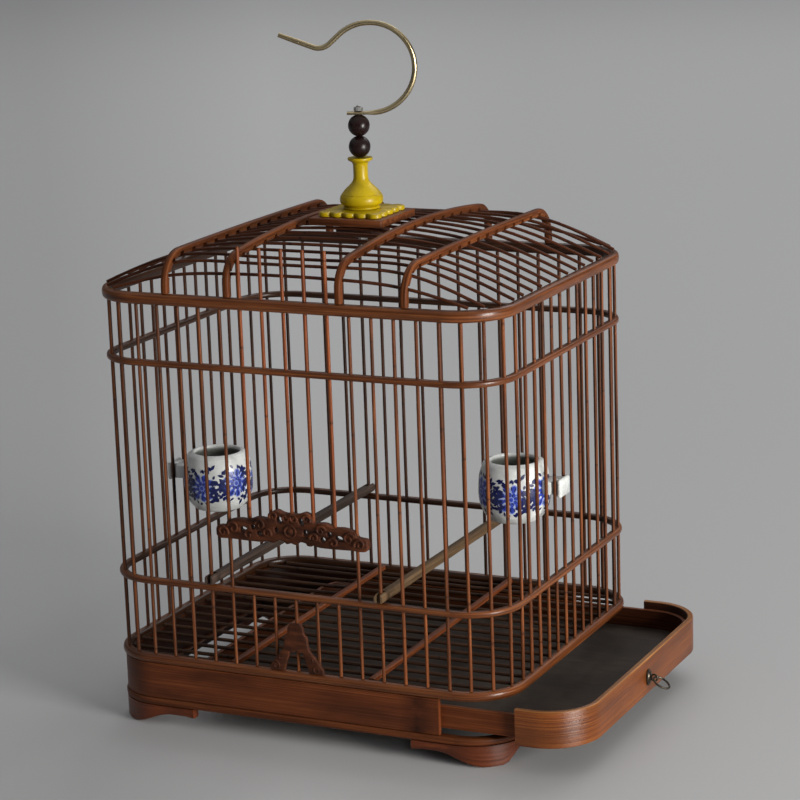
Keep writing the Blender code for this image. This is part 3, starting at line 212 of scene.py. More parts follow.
def lathe(bm, uvLayer, profile, steps, centre, vStart=0.0):
    # turns a profile of (radius, height) that runs from top to bottom on the outer side
    cx, cy, cz = centre
    rings = []
    for r, z in profile:
        turn = circleSteps(steps) if r > 1e-6 else [(0, 0)]
        rings.append([bm.verts.new((cx + r * c, cy + r * s, cz + z)) for c, s in turn])
    v = vStart
    for i in range(len(profile) - 1):
        a, b = rings[i], rings[i + 1]
        nextV = v + math.dist(profile[i], profile[i + 1])
        for j in range(steps):
            k = (j + 1) % steps
            corners = [(a[j % len(a)], j, v), (b[j % len(b)], j, nextV),
                       (b[k % len(b)], j + 1, nextV), (a[k % len(a)], j + 1, v)]
            if len(a) == 1:
                corners.pop(3)
            elif len(b) == 1:
                corners.pop(2)
            face = bm.faces.new([vert for vert, _, _ in corners])
            for loop, (_, across, down) in zip(face.loops, corners):
                loop[uvLayer].uv = (across / steps, down)
        v = nextV


def softBox(bm, uvLayer, low, high, radius):
    # a box with rounded edges; the grain runs along x
    halfY, halfZ = (high[1] - low[1]) / 2, (high[2] - low[2]) / 2
    section = roundedBox(halfY, halfZ, min(radius, halfY * 0.8, halfZ * 0.8))
    length, ends = high[0] - low[0], 1 - radius / halfY
    rows = ((0, ends), (radius, 1), (length / 2, 1), (length - radius, 1), (length, ends))
    rings = [[bm.verts.new((low[0] + at, low[1] + halfY + a * size, low[2] + halfZ + b * size)) for a, b in section]
             for at, size in rows]
    us = [at + low[0] * 3 for at, _ in rows]
    skinRings(bm, uvLayer, rings, us, sectionLength(section), low[1])


def smoothProfile(points, steps):
    # Catmull-Rom through the given profile points
    out = []
    for i in range(len(points) - 1):
        p0, p1, p2, p3 = (Vector(points[min(max(i + k, 0), len(points) - 1)]) for k in (-1, 0, 1, 2))
        for s in range(steps):
            t = s / steps
            q = (2 * p1) + (p2 - p0) * t
            q += (2 * p0 - 5 * p1 + 4 * p2 - p3) * t * t
            q += (3 * p1 - p0 - 3 * p2 + p3) * t ** 3
            out.append(tuple(0.5 * q))
    return out + [tuple(points[-1])]


def cornerPoint(signX, signY, radius, angle):
    return signX * (straightX + radius * math.sin(angle)), signY * (straightY + radius * math.cos(angle))


def endTurn(side, proud, steps):
    # the two round corners at one end of the cage, from the front to the back
    radius = plan["corner"] + proud
    angles = [math.pi / 2 * i / steps for i in range(steps + 1)]
    front = [cornerPoint(side, -1, radius, a) for a in angles]
    return front + [cornerPoint(side, 1, radius, a) for a in reversed(angles)]


def planLoop(proud, steps):
    # the whole outline of the bars, grown outwards by proud
    return endTurn(1, proud, steps) + endTurn(-1, proud, steps)[::-1]


def halfLoop(proud, endX, side, steps):
    # the outline round one end only, with both straight runs stopped at endX
    turn = endTurn(side, proud, steps)
    reach = plan["halfDepth"] + proud
    straight = [endX + (turn[0][0] - endX) * i / 6 for i in range(6)]
    path = [(x, -reach) for x in straight] + turn + [(x, reach) for x in reversed(straight)]
    return path if side > 0 else path[::-1]


def halfWidthAt(y, proud=0.0):
    radius = plan["corner"] + proud
    beyond = abs(y) - straightY
    if beyond <= 0:
        return straightX + radius
    return straightX + math.sqrt(max(radius * radius - beyond * beyond, 0))


class Shader:
    # short-hand for building one node material

    def __init__(self, name, roughness=0.4, metallic=0.0, coat=0.0, coatRoughness=0.1, specular=0.5):
        self.material = bpy.data.materials.new(name)
        self.material.use_nodes = True
        self.tree = self.material.node_tree
        self.surface = self.tree.nodes["Principled BSDF"]
        for socket, value in (("Roughness", roughness), ("Metallic", metallic), ("Coat Weight", coat),
                              ("Coat Roughness", coatRoughness), ("Specular IOR Level", specular)):
            self.surface.inputs[socket].default_value = value

    def node(self, kind, **values):
        made = self.tree.nodes.new(kind)
        for key, value in values.items():
            if hasattr(made, key):
                setattr(made, key, value)
            else:
                made.inputs[key.replace("_", " ")].default_value = value
        return made

    def link(self, source, target):
        self.tree.links.new(source, target)

    def feed(self, socket, value):
        # a socket takes another node's output, a number or a colour
        if hasattr(value, "links"):
            self.link(value, socket)
        elif isinstance(value, (int, float)):
            socket.default_value = value
        else:
            socket.default_value = (*value, 1.0)

    def place(self, scale, space="UV"):
        mapping = self.node("ShaderNodeMapping")
        mapping.inputs["Scale"].default_value = scale
        if space == "UV":
            self.link(self.node("ShaderNodeUVMap", uv_map="grain").outputs["UV"], mapping.inputs["Vector"])
        else:
            self.link(self.node("ShaderNodeTexCoord").outputs["Object"], mapping.inputs["Vector"])
        return mapping.outputs["Vector"]

    def grainPart(self, axis, scale=(1, 1, 1)):
        # one coordinate of the grain map: 0 runs along the fibres, 1 across them
        split = self.node("ShaderNodeSeparateXYZ")
        self.link(self.place(scale), split.inputs[0])
        return split.outputs[axis]

    def noise(self, vector, detail, roughness=0.55, distortion=0.0):
        made = self.node("ShaderNodeTexNoise", Scale=1.0, Detail=detail, Roughness=roughness, Distortion=distortion)
        self.link(vector, made.inputs["Vector"])
        return made.outputs["Fac"]

    def ramp(self, value, stops):
        made = self.node("ShaderNodeValToRGB")
        elements = made.color_ramp.elements
        while len(elements) < len(stops):
            elements.new(0.5)
        for element, (position, colour) in zip(elements, stops):
            element.position = position
            element.color = (*colour, 1.0)
        self.link(value, made.inputs["Fac"])
        return made.outputs["Color"]

    def mix(self, first, second, factor, blend="MIX"):
        made = self.node("ShaderNodeMix", data_type="RGBA", blend_type=blend)
        for index, value in ((6, first), (7, second), (0, factor)):
            self.feed(made.inputs[index], value)
        return made.outputs[2]

    def tint(self, first, second):
        return self.mix(first, second, 1.0, "MULTIPLY")

    def spread(self, value, low, high, fromLow=0.0, fromHigh=1.0):
        made = self.node("ShaderNodeMapRange", From_Min=fromLow, From_Max=fromHigh, To_Min=low, To_Max=high)
        self.link(value, made.inputs["Value"])
        return made.outputs["Result"]

    def math(self, operation, first, second=0.0):
        made = self.node("ShaderNodeMath", operation=operation)
        self.feed(made.inputs[0], first)
        self.feed(made.inputs[1], second)
        return made.outputs[0]

    def bump(self, height, strength, distance):
        made = self.node("ShaderNodeBump", Strength=strength, Distance=distance)
        self.link(height, made.inputs["Height"])
        self.link(made.outputs["Normal"], self.surface.inputs["Normal"])

    def finish(self, colour, rough):
        self.link(colour, self.surface.inputs["Base Color"])
        self.link(rough, self.surface.inputs["Roughness"])
        return self.material


# marks that bamboo boards and bars share: knots, smoke stains, and painted shade on the sides that face into the cage
marks = {"knotWander": 1.5, "knotWidth": 0.012, "knotTone": 0.35, "knotDepth": 0.75,
         "smokeTone": 0.3, "smokeDepth": 0.95, "inwardShadeFull": -0.45, "inwardShadeNone": 0.10}
plain = (1.0, 1.0, 1.0)


def bambooMaterial(name, dark, mid, light, roughness, grain, coat=0.0, knots=0.0, stainDepth=0.35, faces=None,
                   scorch=None, inside=None, grooves=0.25, specular=0.18, drawn=0.0):
    # grain scales the fibres along and across the grain map, or on the object's own three axes;
    # faces paints light and shade on the sides of a swept section by their share round it
    s = Shader(name, roughness=roughness, coat=coat, coatRoughness=0.2, specular=specular)
    if drawn:
        # the fibres draw highlights out across the grain
        s.surface.inputs["Anisotropic"].default_value = drawn
        s.surface.inputs["Anisotropic Rotation"].default_value = 0.25
        s.link(s.node("ShaderNodeTangent", direction_type="UV_MAP").outputs[0], s.surface.inputs["Tangent"])
    if len(grain) == 3:
        fibreMap, patchMap = s.place(grain, "Object"), s.place((22, 22, 22), "Object")
    else:
        fibreMap, patchMap = s.place((*grain, 1)), s.place((14, 60, 1))
    fibres = s.noise(fibreMap, detail=6.0, roughness=0.65)
    patches = s.noise(patchMap, detail=3.0)
    base = s.ramp(fibres, [(0.30, dark), (0.50, mid), (0.72, light)])
    mixed = s.tint(base, s.ramp(patches, [(0.35, (1 - stainDepth,) * 3), (0.62, plain)]))
    if knots:
        # a dark ring every so often along the fibres
        wander = s.noise(s.place((3.0, 0.0, 1)), detail=1.0)
        shifted = s.math("ADD", s.grainPart(0, (knots, 1, 1)), s.math("MULTIPLY", wander, marks["knotWander"]))
        away = s.math("ABSOLUTE", s.math("SUBTRACT", s.math("FRACT", shifted), 0.5))
        ring = s.math("SUBTRACT", 1.0, s.spread(away, 0.0, 1.0, 0.0, marks["knotWidth"]))
        strength = s.math("MULTIPLY", s.math("MAXIMUM", ring, 0.0), marks["knotDepth"])
        mixed = s.mix(mixed, tuple(c * marks["knotTone"] for c in dark), strength)
    if scorch:
        # a dark smoky patch round one place along the board
        place, reach = scorch
        away = s.math("ABSOLUTE", s.math("SUBTRACT", s.grainPart(0), place))
        cloud = s.noise(s.place((60, 90, 1)), detail=4.0)
        near = s.math("MULTIPLY", s.spread(away, 1.0, 0.0, 0.0, reach), s.spread(cloud, 0.35, 1.0, 0.35, 0.6))
        strength = s.math("MULTIPLY", near, marks["smokeDepth"])
        mixed = s.mix(mixed, tuple(c * marks["smokeTone"] for c in dark), strength)
    # painted light on the top of a board and painted shade on its inner side
    if faces:
        perimeter, stops = faces
        mixed = s.tint(mixed, s.ramp(s.grainPart(1, (1, 1 / perimeter, 1)), stops))
    if inside:
        # painted shade: the sides that face into the cage are darker
        coord = s.node("ShaderNodeTexCoord")
        level, outward, facing = (s.node("ShaderNodeVectorMath", operation=kind)
                                  for kind in ("MULTIPLY", "NORMALIZE", "DOT_PRODUCT"))
        s.link(coord.outputs["Object"], level.inputs[0])
        level.inputs[1].default_value = (1, 1, 0)
        s.link(level.outputs[0], outward.inputs[0])
        s.link(outward.outputs[0], facing.inputs[0])
        s.link(coord.outputs["Normal"], facing.inputs[1])
        paintedInwardShade = s.spread(facing.outputs["Value"], 1.0, 0.0, marks["inwardShadeFull"], marks["inwardShadeNone"])
        mixed = s.tint(mixed, s.ramp(paintedInwardShade, [(0.0, plain), (1.0, inside)]))
    s.bump(fibres, grooves, 0.0004)
    return s.finish(mixed, s.spread(fibres, roughness - 0.06, roughness + 0.16, 0.3, 0.7))


def boardTopLightAndInnerShade(width, low, high, radius, inner, top):
    # painted light on a board's top and painted shade on its inner side; the section starts on the outer top corner and
    # runs over the top to the inner side
    corner = math.pi * radius / 2
    across, up = width - 2 * radius, high[2] - low[2] - 2 * radius
    total = 2 * (across + up) + 4 * corner
    edge, inside, foot = (length / total for length in
                          (corner * 0.6, corner * 1.7 + across, corner * 2.3 + across + up))
    return total, [(0.0, plain), (edge, top), (inside - 0.012, top), (inside, inner),
                   (foot - 0.01, inner), (foot + 0.01, plain), (1.0, plain)]


def turnedLook(name, colour, darker, roughness, scale, coat=0.0, metallic=0.0, bumpDepth=0.0, specular=0.5,
               hollow=None):
    # an even finish with faint streaks, small blotches and slight unevenness
    s = Shader(name, roughness=roughness, metallic=metallic, coat=coat, coatRoughness=0.12, specular=specular)
    streak = s.noise(s.place(scale, "Object"), detail=5.0, roughness=0.6)
    blotch = s.noise(s.place((90, 90, 90), "Object"), detail=3.0)
    tone = s.ramp(streak, [(0.34, darker), (0.62, colour)])
    mixed = s.tint(tone, s.ramp(blotch, [(0.30, (0.80, 0.80, 0.80)), (0.55, plain)]))
    if hollow:
        # painted shade in the hollow of a turned piece: its map starts at 1 in the middle and reaches rim at the rim
        rim, shade = hollow
        down = s.grainPart(1)
        outer = s.math("MAXIMUM", s.math("LESS_THAN", down, 0.9), s.spread(down, 0.0, 1.0, rim - 0.006, rim))
        mixed = s.tint(mixed, s.ramp(outer, [(0.0, shade), (1.0, plain)]))
    if bumpDepth:
        s.bump(streak, 0.2, bumpDepth)
    return s.finish(mixed, s.spread(blotch, roughness + 0.14, max(roughness - 0.04, 0.03), 0.3, 0.65))


def trayBoardLook():
    s = Shader("trayBoardSurface", roughness=0.6, specular=0.12)
    grime = s.noise(s.place((17, 9, 14), "Object"), detail=6.0, roughness=0.6, distortion=0.6)
    fine = s.noise(s.place((30, 420, 30), "Object"), detail=5.0, roughness=0.6)
    tone = s.ramp(grime, [(0.34, (0.018, 0.012, 0.009)), (0.50, (0.042, 0.030, 0.022)), (0.66, (0.072, 0.056, 0.044))])
    streaks = s.ramp(fine, [(0.35, (0.75, 0.75, 0.75)), (0.65, plain)])
    s.bump(fine, 0.2, 0.0003)
    return s.finish(s.tint(tone, streaks), s.spread(grime, 0.48, 0.75, 0.35, 0.65))


# bamboo: dark, middle and light tone of the fibres, roughness, then the scale of the grain along and across
looks = {
    # inside is the tint of the painted shade on the sides that face into the cage
    "bar": bambooMaterial("stainedBars", (0.050, 0.014, 0.005), (0.150, 0.042, 0.011), (0.33, 0.104, 0.029),
                          0.42, (16, 700), coat=0.04, knots=9.0, stainDepth=0.6, inside=(0.34, 0.44, 0.75)),
    "hoop": bambooMaterial("stainedHoops", (0.048, 0.013, 0.0045), (0.135, 0.038, 0.0095), (0.29, 0.098, 0.028),
                           0.32, (10, 650), coat=0.25, inside=(0.26, 0.32, 0.45)),
    "rib": bambooMaterial("stainedRibs", (0.045, 0.012, 0.0045), (0.135, 0.037, 0.0095), (0.27, 0.088, 0.026),
                          0.46, (10, 650), specular=0.12),
    "foot": bambooMaterial("stainedFeet", (0.056, 0.012, 0.003), (0.118, 0.024, 0.005), (0.21, 0.050, 0.012),
                           0.38, (9, 700), specular=0.4, drawn=0.7),
    "rail": bambooMaterial("stainedRail", (0.048, 0.012, 0.004), (0.104, 0.027, 0.007), (0.18, 0.050, 0.015),
                           0.40, (8, 600), coat=0.04,
                           faces=boardTopLightAndInnerShade(base["railWidth"], railLow, railHigh, base["railEdge"],
                                            (0.25, 0.22, 0.2), (1.2, 1.3, 1.4))),
    "band": bambooMaterial("stainedBand", (0.070, 0.017, 0.005), (0.128, 0.032, 0.009), (0.21, 0.060, 0.018),
                           0.40, (6, 1100), coat=0.04, stainDepth=0.5, grooves=0.4, scorch=(1.149, 0.014),
                           faces=boardTopLightAndInnerShade(base["bandThickness"], bandLow, bandHigh, base["bandEdge"],
                                            (0.22, 0.2, 0.2), (1.7, 1.9, 2.2))),
    "trayWall": bambooMaterial("stainedTrayWall", (0.060, 0.015, 0.004), (0.125, 0.031, 0.008), (0.21, 0.058, 0.016),
                               0.44, (8, 700),
                               faces=boardTopLightAndInnerShade(tray["wall"], wallLow, wallHigh, tray["wallEdge"],
                                                (0.42, 0.46, 0.55), (1.3, 1.5, 1.8))),
    # the roof is darker than the bars: partly its own tone, partly painted shade for the roof's back
    "roof": bambooMaterial("stainedAndShadedRoof", (0.028, 0.008, 0.003), (0.074, 0.020, 0.007), (0.17, 0.049, 0.015),
                           0.46, (14, 700), knots=7.0),
    "slat": bambooMaterial("greyedSlats", (0.018, 0.008, 0.005), (0.050, 0.022, 0.011), (0.105, 0.052, 0.027),
                           0.58, (18, 700), knots=7.0),
    "crossBar": bambooMaterial("crossBars", (0.065, 0.016, 0.005), (0.150, 0.039, 0.011), (0.26, 0.078, 0.026),
                               0.44, (16, 500)),
    "trayFront": bambooMaterial("trayFrontGrain", (0.058, 0.012, 0.002), (0.150, 0.036, 0.004), (0.32, 0.110, 0.020),
                                0.34, (5, 950), specular=0.5, grooves=0.7, drawn=0.8,
                                faces=boardTopLightAndInnerShade(base["bandThickness"], frontLow, frontHigh, tray["frontEdge"],
                                                 (0.16, 0.15, 0.18), (1.8, 2.6, 3.6))),
    "block": bambooMaterial("blockGrain", (0.065, 0.018, 0.006), (0.155, 0.044, 0.012), (0.26, 0.085, 0.026),
                            0.44, (12, 260, 260), coat=0.04),
    "clamp": bambooMaterial("clampGrain", (0.020, 0.008, 0.005), (0.050, 0.018, 0.010), (0.09, 0.036, 0.020),
                            0.5, (12, 260, 260)),
    "carved": bambooMaterial("carvedGrain", (0.022, 0.007, 0.004), (0.074, 0.021, 0.008), (0.150, 0.043, 0.015),
                             0.60, (50, 260, 260), stainDepth=0.5),
    "doorBar": bambooMaterial("doorBars", (0.065, 0.016, 0.005), (0.195, 0.048, 0.012), (0.40, 0.115, 0.030),
                              0.40, (16, 700), coat=0.04, knots=8.0),
    "perchLeft": bambooMaterial("perchReddish", (0.026, 0.017, 0.013), (0.056, 0.036, 0.027), (0.105, 0.070, 0.054),
                                0.62, (12, 480)),
    "perchRight": bambooMaterial("perchOlive", (0.060, 0.033, 0.015), (0.125, 0.074, 0.036), (0.205, 0.130, 0.070),
                                 0.62, (12, 480))}
print("bamboo finishes made")

# lacquer, metal and porcelain: main tone, darker streaks, roughness, then the scale of the streaks
looks.update({
    "trayBoard": trayBoardLook(),
    "yellow": turnedLook("yellowLacquer", (0.47, 0.335, 0.003), (0.38, 0.26, 0.002), 0.30, (40, 40, 120),
                         coat=0.06, bumpDepth=0.0002, specular=0.25),
    "bead": turnedLook("polishedBead", (0.014, 0.005, 0.004), (0.009, 0.003, 0.003), 0.30, (30, 30, 30),
                       specular=0.3),
    "brass": turnedLook("brassWire", (0.52, 0.43, 0.26), (0.40, 0.32, 0.18), 0.26, (25, 25, 25), metallic=1.0),
    "steel": turnedLook("brightSteel", (0.62, 0.61, 0.59), (0.42, 0.41, 0.39), 0.28, (40, 40, 300),
                        metallic=1.0, bumpDepth=0.00005),
    "bronze": turnedLook("agedBronze", (0.115, 0.095, 0.072), (0.045, 0.037, 0.030), 0.38, (400, 400, 400),
                         metallic=1.0, bumpDepth=0.0002),
    # the cup's hollow is greyed with painted shade
    "porcelain": turnedLook("whiteGlaze", (0.66, 0.675, 0.65), (0.60, 0.615, 0.60), 0.24, (20, 20, 20),
                            coat=0.1, bumpDepth=0.00008, hollow=(1.0605, (0.30, 0.31, 0.28)))})
blues = {"paleBlue": ((0.27, 0.34, 0.68), (0.17, 0.24, 0.58)), "midBlue": ((0.030, 0.060, 0.40), (0.014, 0.032, 0.28)),
         "darkBlue": ((0.006, 0.012, 0.100), (0.003, 0.006, 0.05))}
for shade, (main, darker) in blues.items():
    looks[shade] = turnedLook("glaze_" + shade, main, darker, 0.24, (500, 500, 500), coat=0.1)
print("other finishes made")

walls = {"barRadius": 0.00135, "barSides": 10, "wander": 0.00012, "hoopWidth": 0.0062, "hoopHeight": 0.0048,
         "cornerBars": 3, "doorwayGaps": 2.6, "firstSeed": 11}
corners = {"front_left": (-1, -1), "front_right": (1, -1), "back_left": (-1, 1), "back_right": (1, 1)}


def barPlaces(side):
    if side in ("front", "back"):
        y = plan["halfDepth"] * (-1 if side == "front" else 1)
        return [((i - plan["frontGaps"] // 2) * frontPitch, y) for i in range(plan["frontGaps"] + 1)]
    if side in ("left", "right"):
        x = plan["halfWidth"] * (-1 if side == "left" else 1)
        return [(x, y) for y in sideBars]
    leadFront, leadSide = plan["lead"] * frontPitch, plan["lead"] * sidePitch
    gap = (leadFront + math.pi / 2 * plan["corner"] + leadSide) / (walls["cornerBars"] + 1)
    angles = [(gap * (i + 1) - leadFront) / plan["corner"] for i in range(walls["cornerBars"])]
    return [cornerPoint(*corners[side], plan["corner"], a) for a in angles]


def straightBar(bm, uvLayer, x, y, low, high, seed, roundTop=False):
    # a split bamboo bar, slightly bowed; two spare draws keep the later ones in their order
    rng = random.Random(seed)
    leanX, leanY, _, _ = (rng.uniform(-1, 1) * walls["wander"] for _ in range(4))
    thick = walls["barRadius"] * rng.uniform(0.93, 1.0)
    points, rows = [], 9
    for i in range(rows):
        t = i / (rows - 1)
        sway = 2 * math.sin(math.pi * t)
        points.append((centreX + x + sway * leanX, y + sway * leanY, low + (high - low) * t))
    radii = [thick] * rows
    if roundTop:
        topX, topY, top = points.pop()
        points += [(topX, topY, top - thick * drop) for drop in (1.0, 0.45, 0.12, 0.0)]
        radii += [thick * share for share in (0.93, 0.72, 0.35)]
    tubeAlong(bm, uvLayer, points, radii, walls["barSides"], rng.uniform(0, 3))


def makeWalls():
    low, high = sillHigh[2] + seam, ringLow[2] - seam
    for number, side in enumerate(("front", "right", "back", "left", *corners)):
        replaced = [("corner_" if side in corners else "wall_") + side]
        if side == "front":
            replaced = ["wall_front_left", "wall_front_right", "wall_front_low"]

        def fill(bm, uvLayer):
            for i, (x, y) in enumerate(barPlaces(side)):
                underDoor = side == "front" and abs(x) < walls["doorwayGaps"] * frontPitch
                seed = (walls["firstSeed"] + number) * 100 + i
                straightBar(bm, uvLayer, x, y, low, lowerHoopZ if underDoor else high, seed)

        drawPiece("wallBars_" + side, "cage", "bar", replaced, fill, 60)
    section = closedOutline(walls["hoopWidth"] / 2, walls["hoopHeight"] / 2, 3.0, 16)
    for name, z in (("lowerHoop", lowerHoopZ), ("upperHoop", upperHoopZ)):
        sweptPiece(name, "cage", "hoop", (), planLoop(0, 16), section, z, uShift=z * 7)


makeWalls()
print("walls made")


def makeRings():
    level, half = levelOf(ringLow, ringHigh)
    section = closedOutline(base["ringWidth"] / 2, half, base["ringPower"], 20)
    sweptPiece("topRing", "cage", "hoop", ["top_ring"], planLoop(0, 18), section, level)
    level, half = levelOf(sillLow, sillHigh)
    section = closedOutline(base["sillWidth"] / 2, half, base["sillPower"], 20)
    sweptPiece("sillBead", "cage", "hoop", ["sill_ring"], planLoop(0, 18), section, level, uShift=1.3)
    level, half = levelOf(railLow, railHigh)
    section = roundedBox(base["railWidth"] / 2, half, base["railEdge"])
    path = planLoop(base["railProud"] - base["railWidth"] / 2, 18)
    sweptPiece("baseRail", "cage", "rail", ["base_rail"], path, section, level, uShift=2.1)
    level, half = levelOf(bandLow, bandHigh)
    section = roundedBox(base["bandThickness"] / 2, half, base["bandEdge"])
    path = halfLoop(base["bandProud"] - base["bandThickness"] / 2, bandHigh[0] - centreX, -1, 18)
    sweptPiece("baseBand", "cage", "band", ["base_band"], path, section, level, False, 0.4)


makeRings()
print("rings and base made")

roof = {"ribWidth": 0.005, "ribDepth": 0.006, "ribEdge": 0.0015, "barRadius": 0.0012, "barSeat": 0.0004,
        "notchRoom": 0.0006, "notchSide": 0.00004, "notchClear": 0.0002, "cornerAngles": (28.0, 46.0, 68.0),
        "inner": {"x": 0.0440, "height": 0.0346, "bend": 0.019, "crown": 6.8},
        "outer": {"x": 0.0940, "height": 0.0274, "bend": 0.022, "crown": 0.9}}


def ribShape(rib):
    # rise of the crown, half its depth, then where the leg and the bend end along the rib's line
    tilt = math.radians(rib["crown"])
    endY = plan["halfDepth"] - rib["bend"] * (1 - math.sin(tilt))
    crown = endY * math.tan(tilt) / 2
    leg = rib["height"] - crown - rib["bend"] * math.cos(tilt)
    return crown, endY, leg, leg + rib["bend"] * (math.pi / 2 - tilt)


def ribPoint(rib, station, offset):
    # one point of a rib's line: leg, bend and shallow crown, with an offset to its outer side
    crown, endY, leg, bent = ribShape(rib)
    if station <= leg:
        return -(plan["halfDepth"] + offset), station
    if station <= bent:
        angle, radius = (station - leg) / rib["bend"], rib["bend"] + offset
        return -(plan["halfDepth"] - rib["bend"]) - radius * math.cos(angle), leg + radius * math.sin(angle)
    y = station - bent - endY
    slope = -2 * crown * y / endY ** 2
    norm = math.hypot(1, slope)
    return y - offset * slope / norm, rib["height"] - crown * (y / endY) ** 2 + offset / norm


def ribStationAt(rib, depth, offset):
    # where along the rib its offset line stands depth in front of the middle
    _, endY, _, bent = ribShape(rib)
    low, high = 0, bent + endY
    for _ in range(50):
        middle = (low + high) / 2
        if ribPoint(rib, middle, offset)[0] < -depth:
            low = middle
        else:
            high = middle
    return low


def roofBarDepths():
    rounded = [straightY + plan["corner"] * math.cos(math.radians(a)) for a in roof["cornerAngles"]]
    return rounded + [-y for y in sideBars if y < 0]


def naturalCubic(xs, zs):
    # heights between the knots, by a plain tridiagonal solve
    n = len(xs)
    steps = [xs[i + 1] - xs[i] for i in range(n - 1)]
    upper, right = [0.0] * n, [0.0] * n
    for i in range(1, n - 1):
        pivot = 2 * (steps[i - 1] + steps[i]) - steps[i - 1] * upper[i - 1]
        upper[i] = steps[i] / pivot
        slopes = 6 * ((zs[i + 1] - zs[i]) / steps[i] - (zs[i] - zs[i - 1]) / steps[i - 1])
        right[i] = (slopes - steps[i - 1] * right[i - 1]) / pivot
    bends = [0.0] * n
    for i in range(n - 2, 0, -1):
        bends[i] = right[i] - upper[i] * bends[i + 1]

    def height(x):
        i = max(j for j in range(n - 1) if xs[j] <= x or j == 0)
        step = steps[i]
        left, rest = (xs[i + 1] - x) / step, (x - xs[i]) / step
        bend = (left ** 3 - left) * bends[i] + (rest ** 3 - rest) * bends[i + 1]
        return left * zs[i] + rest * zs[i + 1] + bend * step * step / 6

    return height


def roofBarLine(depth):
    # a roof bar springs from the top ring and runs through the notches of the four ribs
    reach, count = halfWidthAt(depth), 28
    under = -roof["ribDepth"] / 2 + roof["barSeat"]
    outer, inner = roof["outer"]["x"], roof["inner"]["x"]
    heights = [roof["barRadius"] + seam]
    for rib in (roof["outer"], roof["inner"]):
        heights.append(ribPoint(rib, ribStationAt(rib, depth, under), under)[1])
    height = naturalCubic((-reach, -outer, -inner, inner, outer, reach), heights + heights[::-1])
    xs = [reach * (2 * i / count - 1) for i in range(count + 1)]
    return [(x, height(x)) for x in xs]


def ribRows(rib):
    # stations along half a rib, each with the depth of the notch cut from below there
    _, endY, leg, bent = ribShape(rib)
    stations = [0, leg * 0.5, leg] + [leg + (bent - leg) * i / 9 for i in range(1, 10)]
    stations += [bent + endY * i / 9 for i in range(1, 10)]
    notches = []
    for depth in roofBarDepths():
        line = roofBarLine(depth)
        slope = max(abs(z1 - z0) / (x1 - x0) for (x0, z0), (x1, z1) in zip(line, line[1:]) if x0 <= rib["x"] <= x1)
        room = roof["barRadius"] + slope * roof["ribWidth"] / 2
        at = ribStationAt(rib, depth, -roof["ribDepth"] / 2 + roof["barSeat"])
        notches.append((at, room + roof["notchRoom"], room + roof["barSeat"] + seam))
    clear, side = roof["notchClear"], roof["notchSide"]
    rows = [(s, 0.0) for s in stations if all(abs(s - at) > half + clear for at, half, _ in notches)]
    for at, half, deep in notches:
        rows += [(at - half, 0.0), (at - half + side, deep), (at + half - side, deep), (at + half, 0.0)]
    return sorted(rows)


def makeRibs():
    section = roundedBox(roof["ribWidth"] / 2, roof["ribDepth"] / 2, roof["ribEdge"])
    for name, sign in (("left_outer", -1), ("left_inner", -1), ("right_inner", 1), ("right_outer", 1)):
        rib = roof[name.split("_")[1]]
        front = ribRows(rib)
        rows = [(*row, 1) for row in front] + [(*row, -1) for row in reversed(front[:-1])]

        def fill(bm, uvLayer):
            rings, us, last = [], [], None
            for station, deep, facing in rows:
                ring = []
                for across, out in section:
                    y, z = ribPoint(rib, station, out + deep if out < 0 else out)
                    ring.append(bm.verts.new((centreX + sign * rib["x"] + across, y * facing, ringHigh[2] + seam + z)))
                rings.append(ring)
                y, z = ribPoint(rib, station, 0)
                here = Vector((y * facing, z))
                us.append(us[-1] + (here - last).length if us else 0.0)
                last = here
            skinRings(bm, uvLayer, rings, us, sectionLength(section), rib["x"] * sign)

        drawPiece("ribOf_" + name, "cage", "rib", ["roof_rib_" + name], fill)


def makeRoofBars():
    depths = roofBarDepths()
    for number, y in enumerate([-d for d in depths] + depths[::-1], start=1):
        line = [(centreX + x, y, ringHigh[2] + z) for x, z in roofBarLine(abs(y))]

        def fill(bm, uvLayer):
            tubeAlong(bm, uvLayer, line, roof["barRadius"], 8, number * 0.73)

        replaced = [f"roof_bar_{number:02d}"]
        drawPiece(f"roofBar_{number:02d}", "cage", "roof", replaced, fill, 60)


makeRibs()
makeRoofBars()
print("roof made")

# the four feet are alike: a heel at the corner and two arms that grow thin towards their ends
feet = {"thickness": 0.0075, "setBack": 0.0004, "front": 0.070, "side": 0.060, "heel": 0.014, "thin": 0.0060,
        "end": 0.0068, "frontCurve": 0.66, "sideCurve": 0.34, "thinUntil": 0.84, "edge": 0.0011, "sectionStep": 0.0045}


def footBottom(along, arm, height):
    # level of the lower edge over the table, from the heel to the thin far end of an arm
    thin, curve = height - feet["thin"], feet[arm + "Curve"]
    share = (along - feet["heel"]) / (feet[arm] - feet["heel"])
    if share <= 0:
        return 0.0
    if share < curve:
        return thin * (0.5 - 0.5 * math.cos(math.pi * share / curve))
    if share < feet["thinUntil"]:
        return thin
    return thin + (share - feet["thinUntil"]) / (1 - feet["thinUntil"]) * (feet["thin"] - feet["end"])


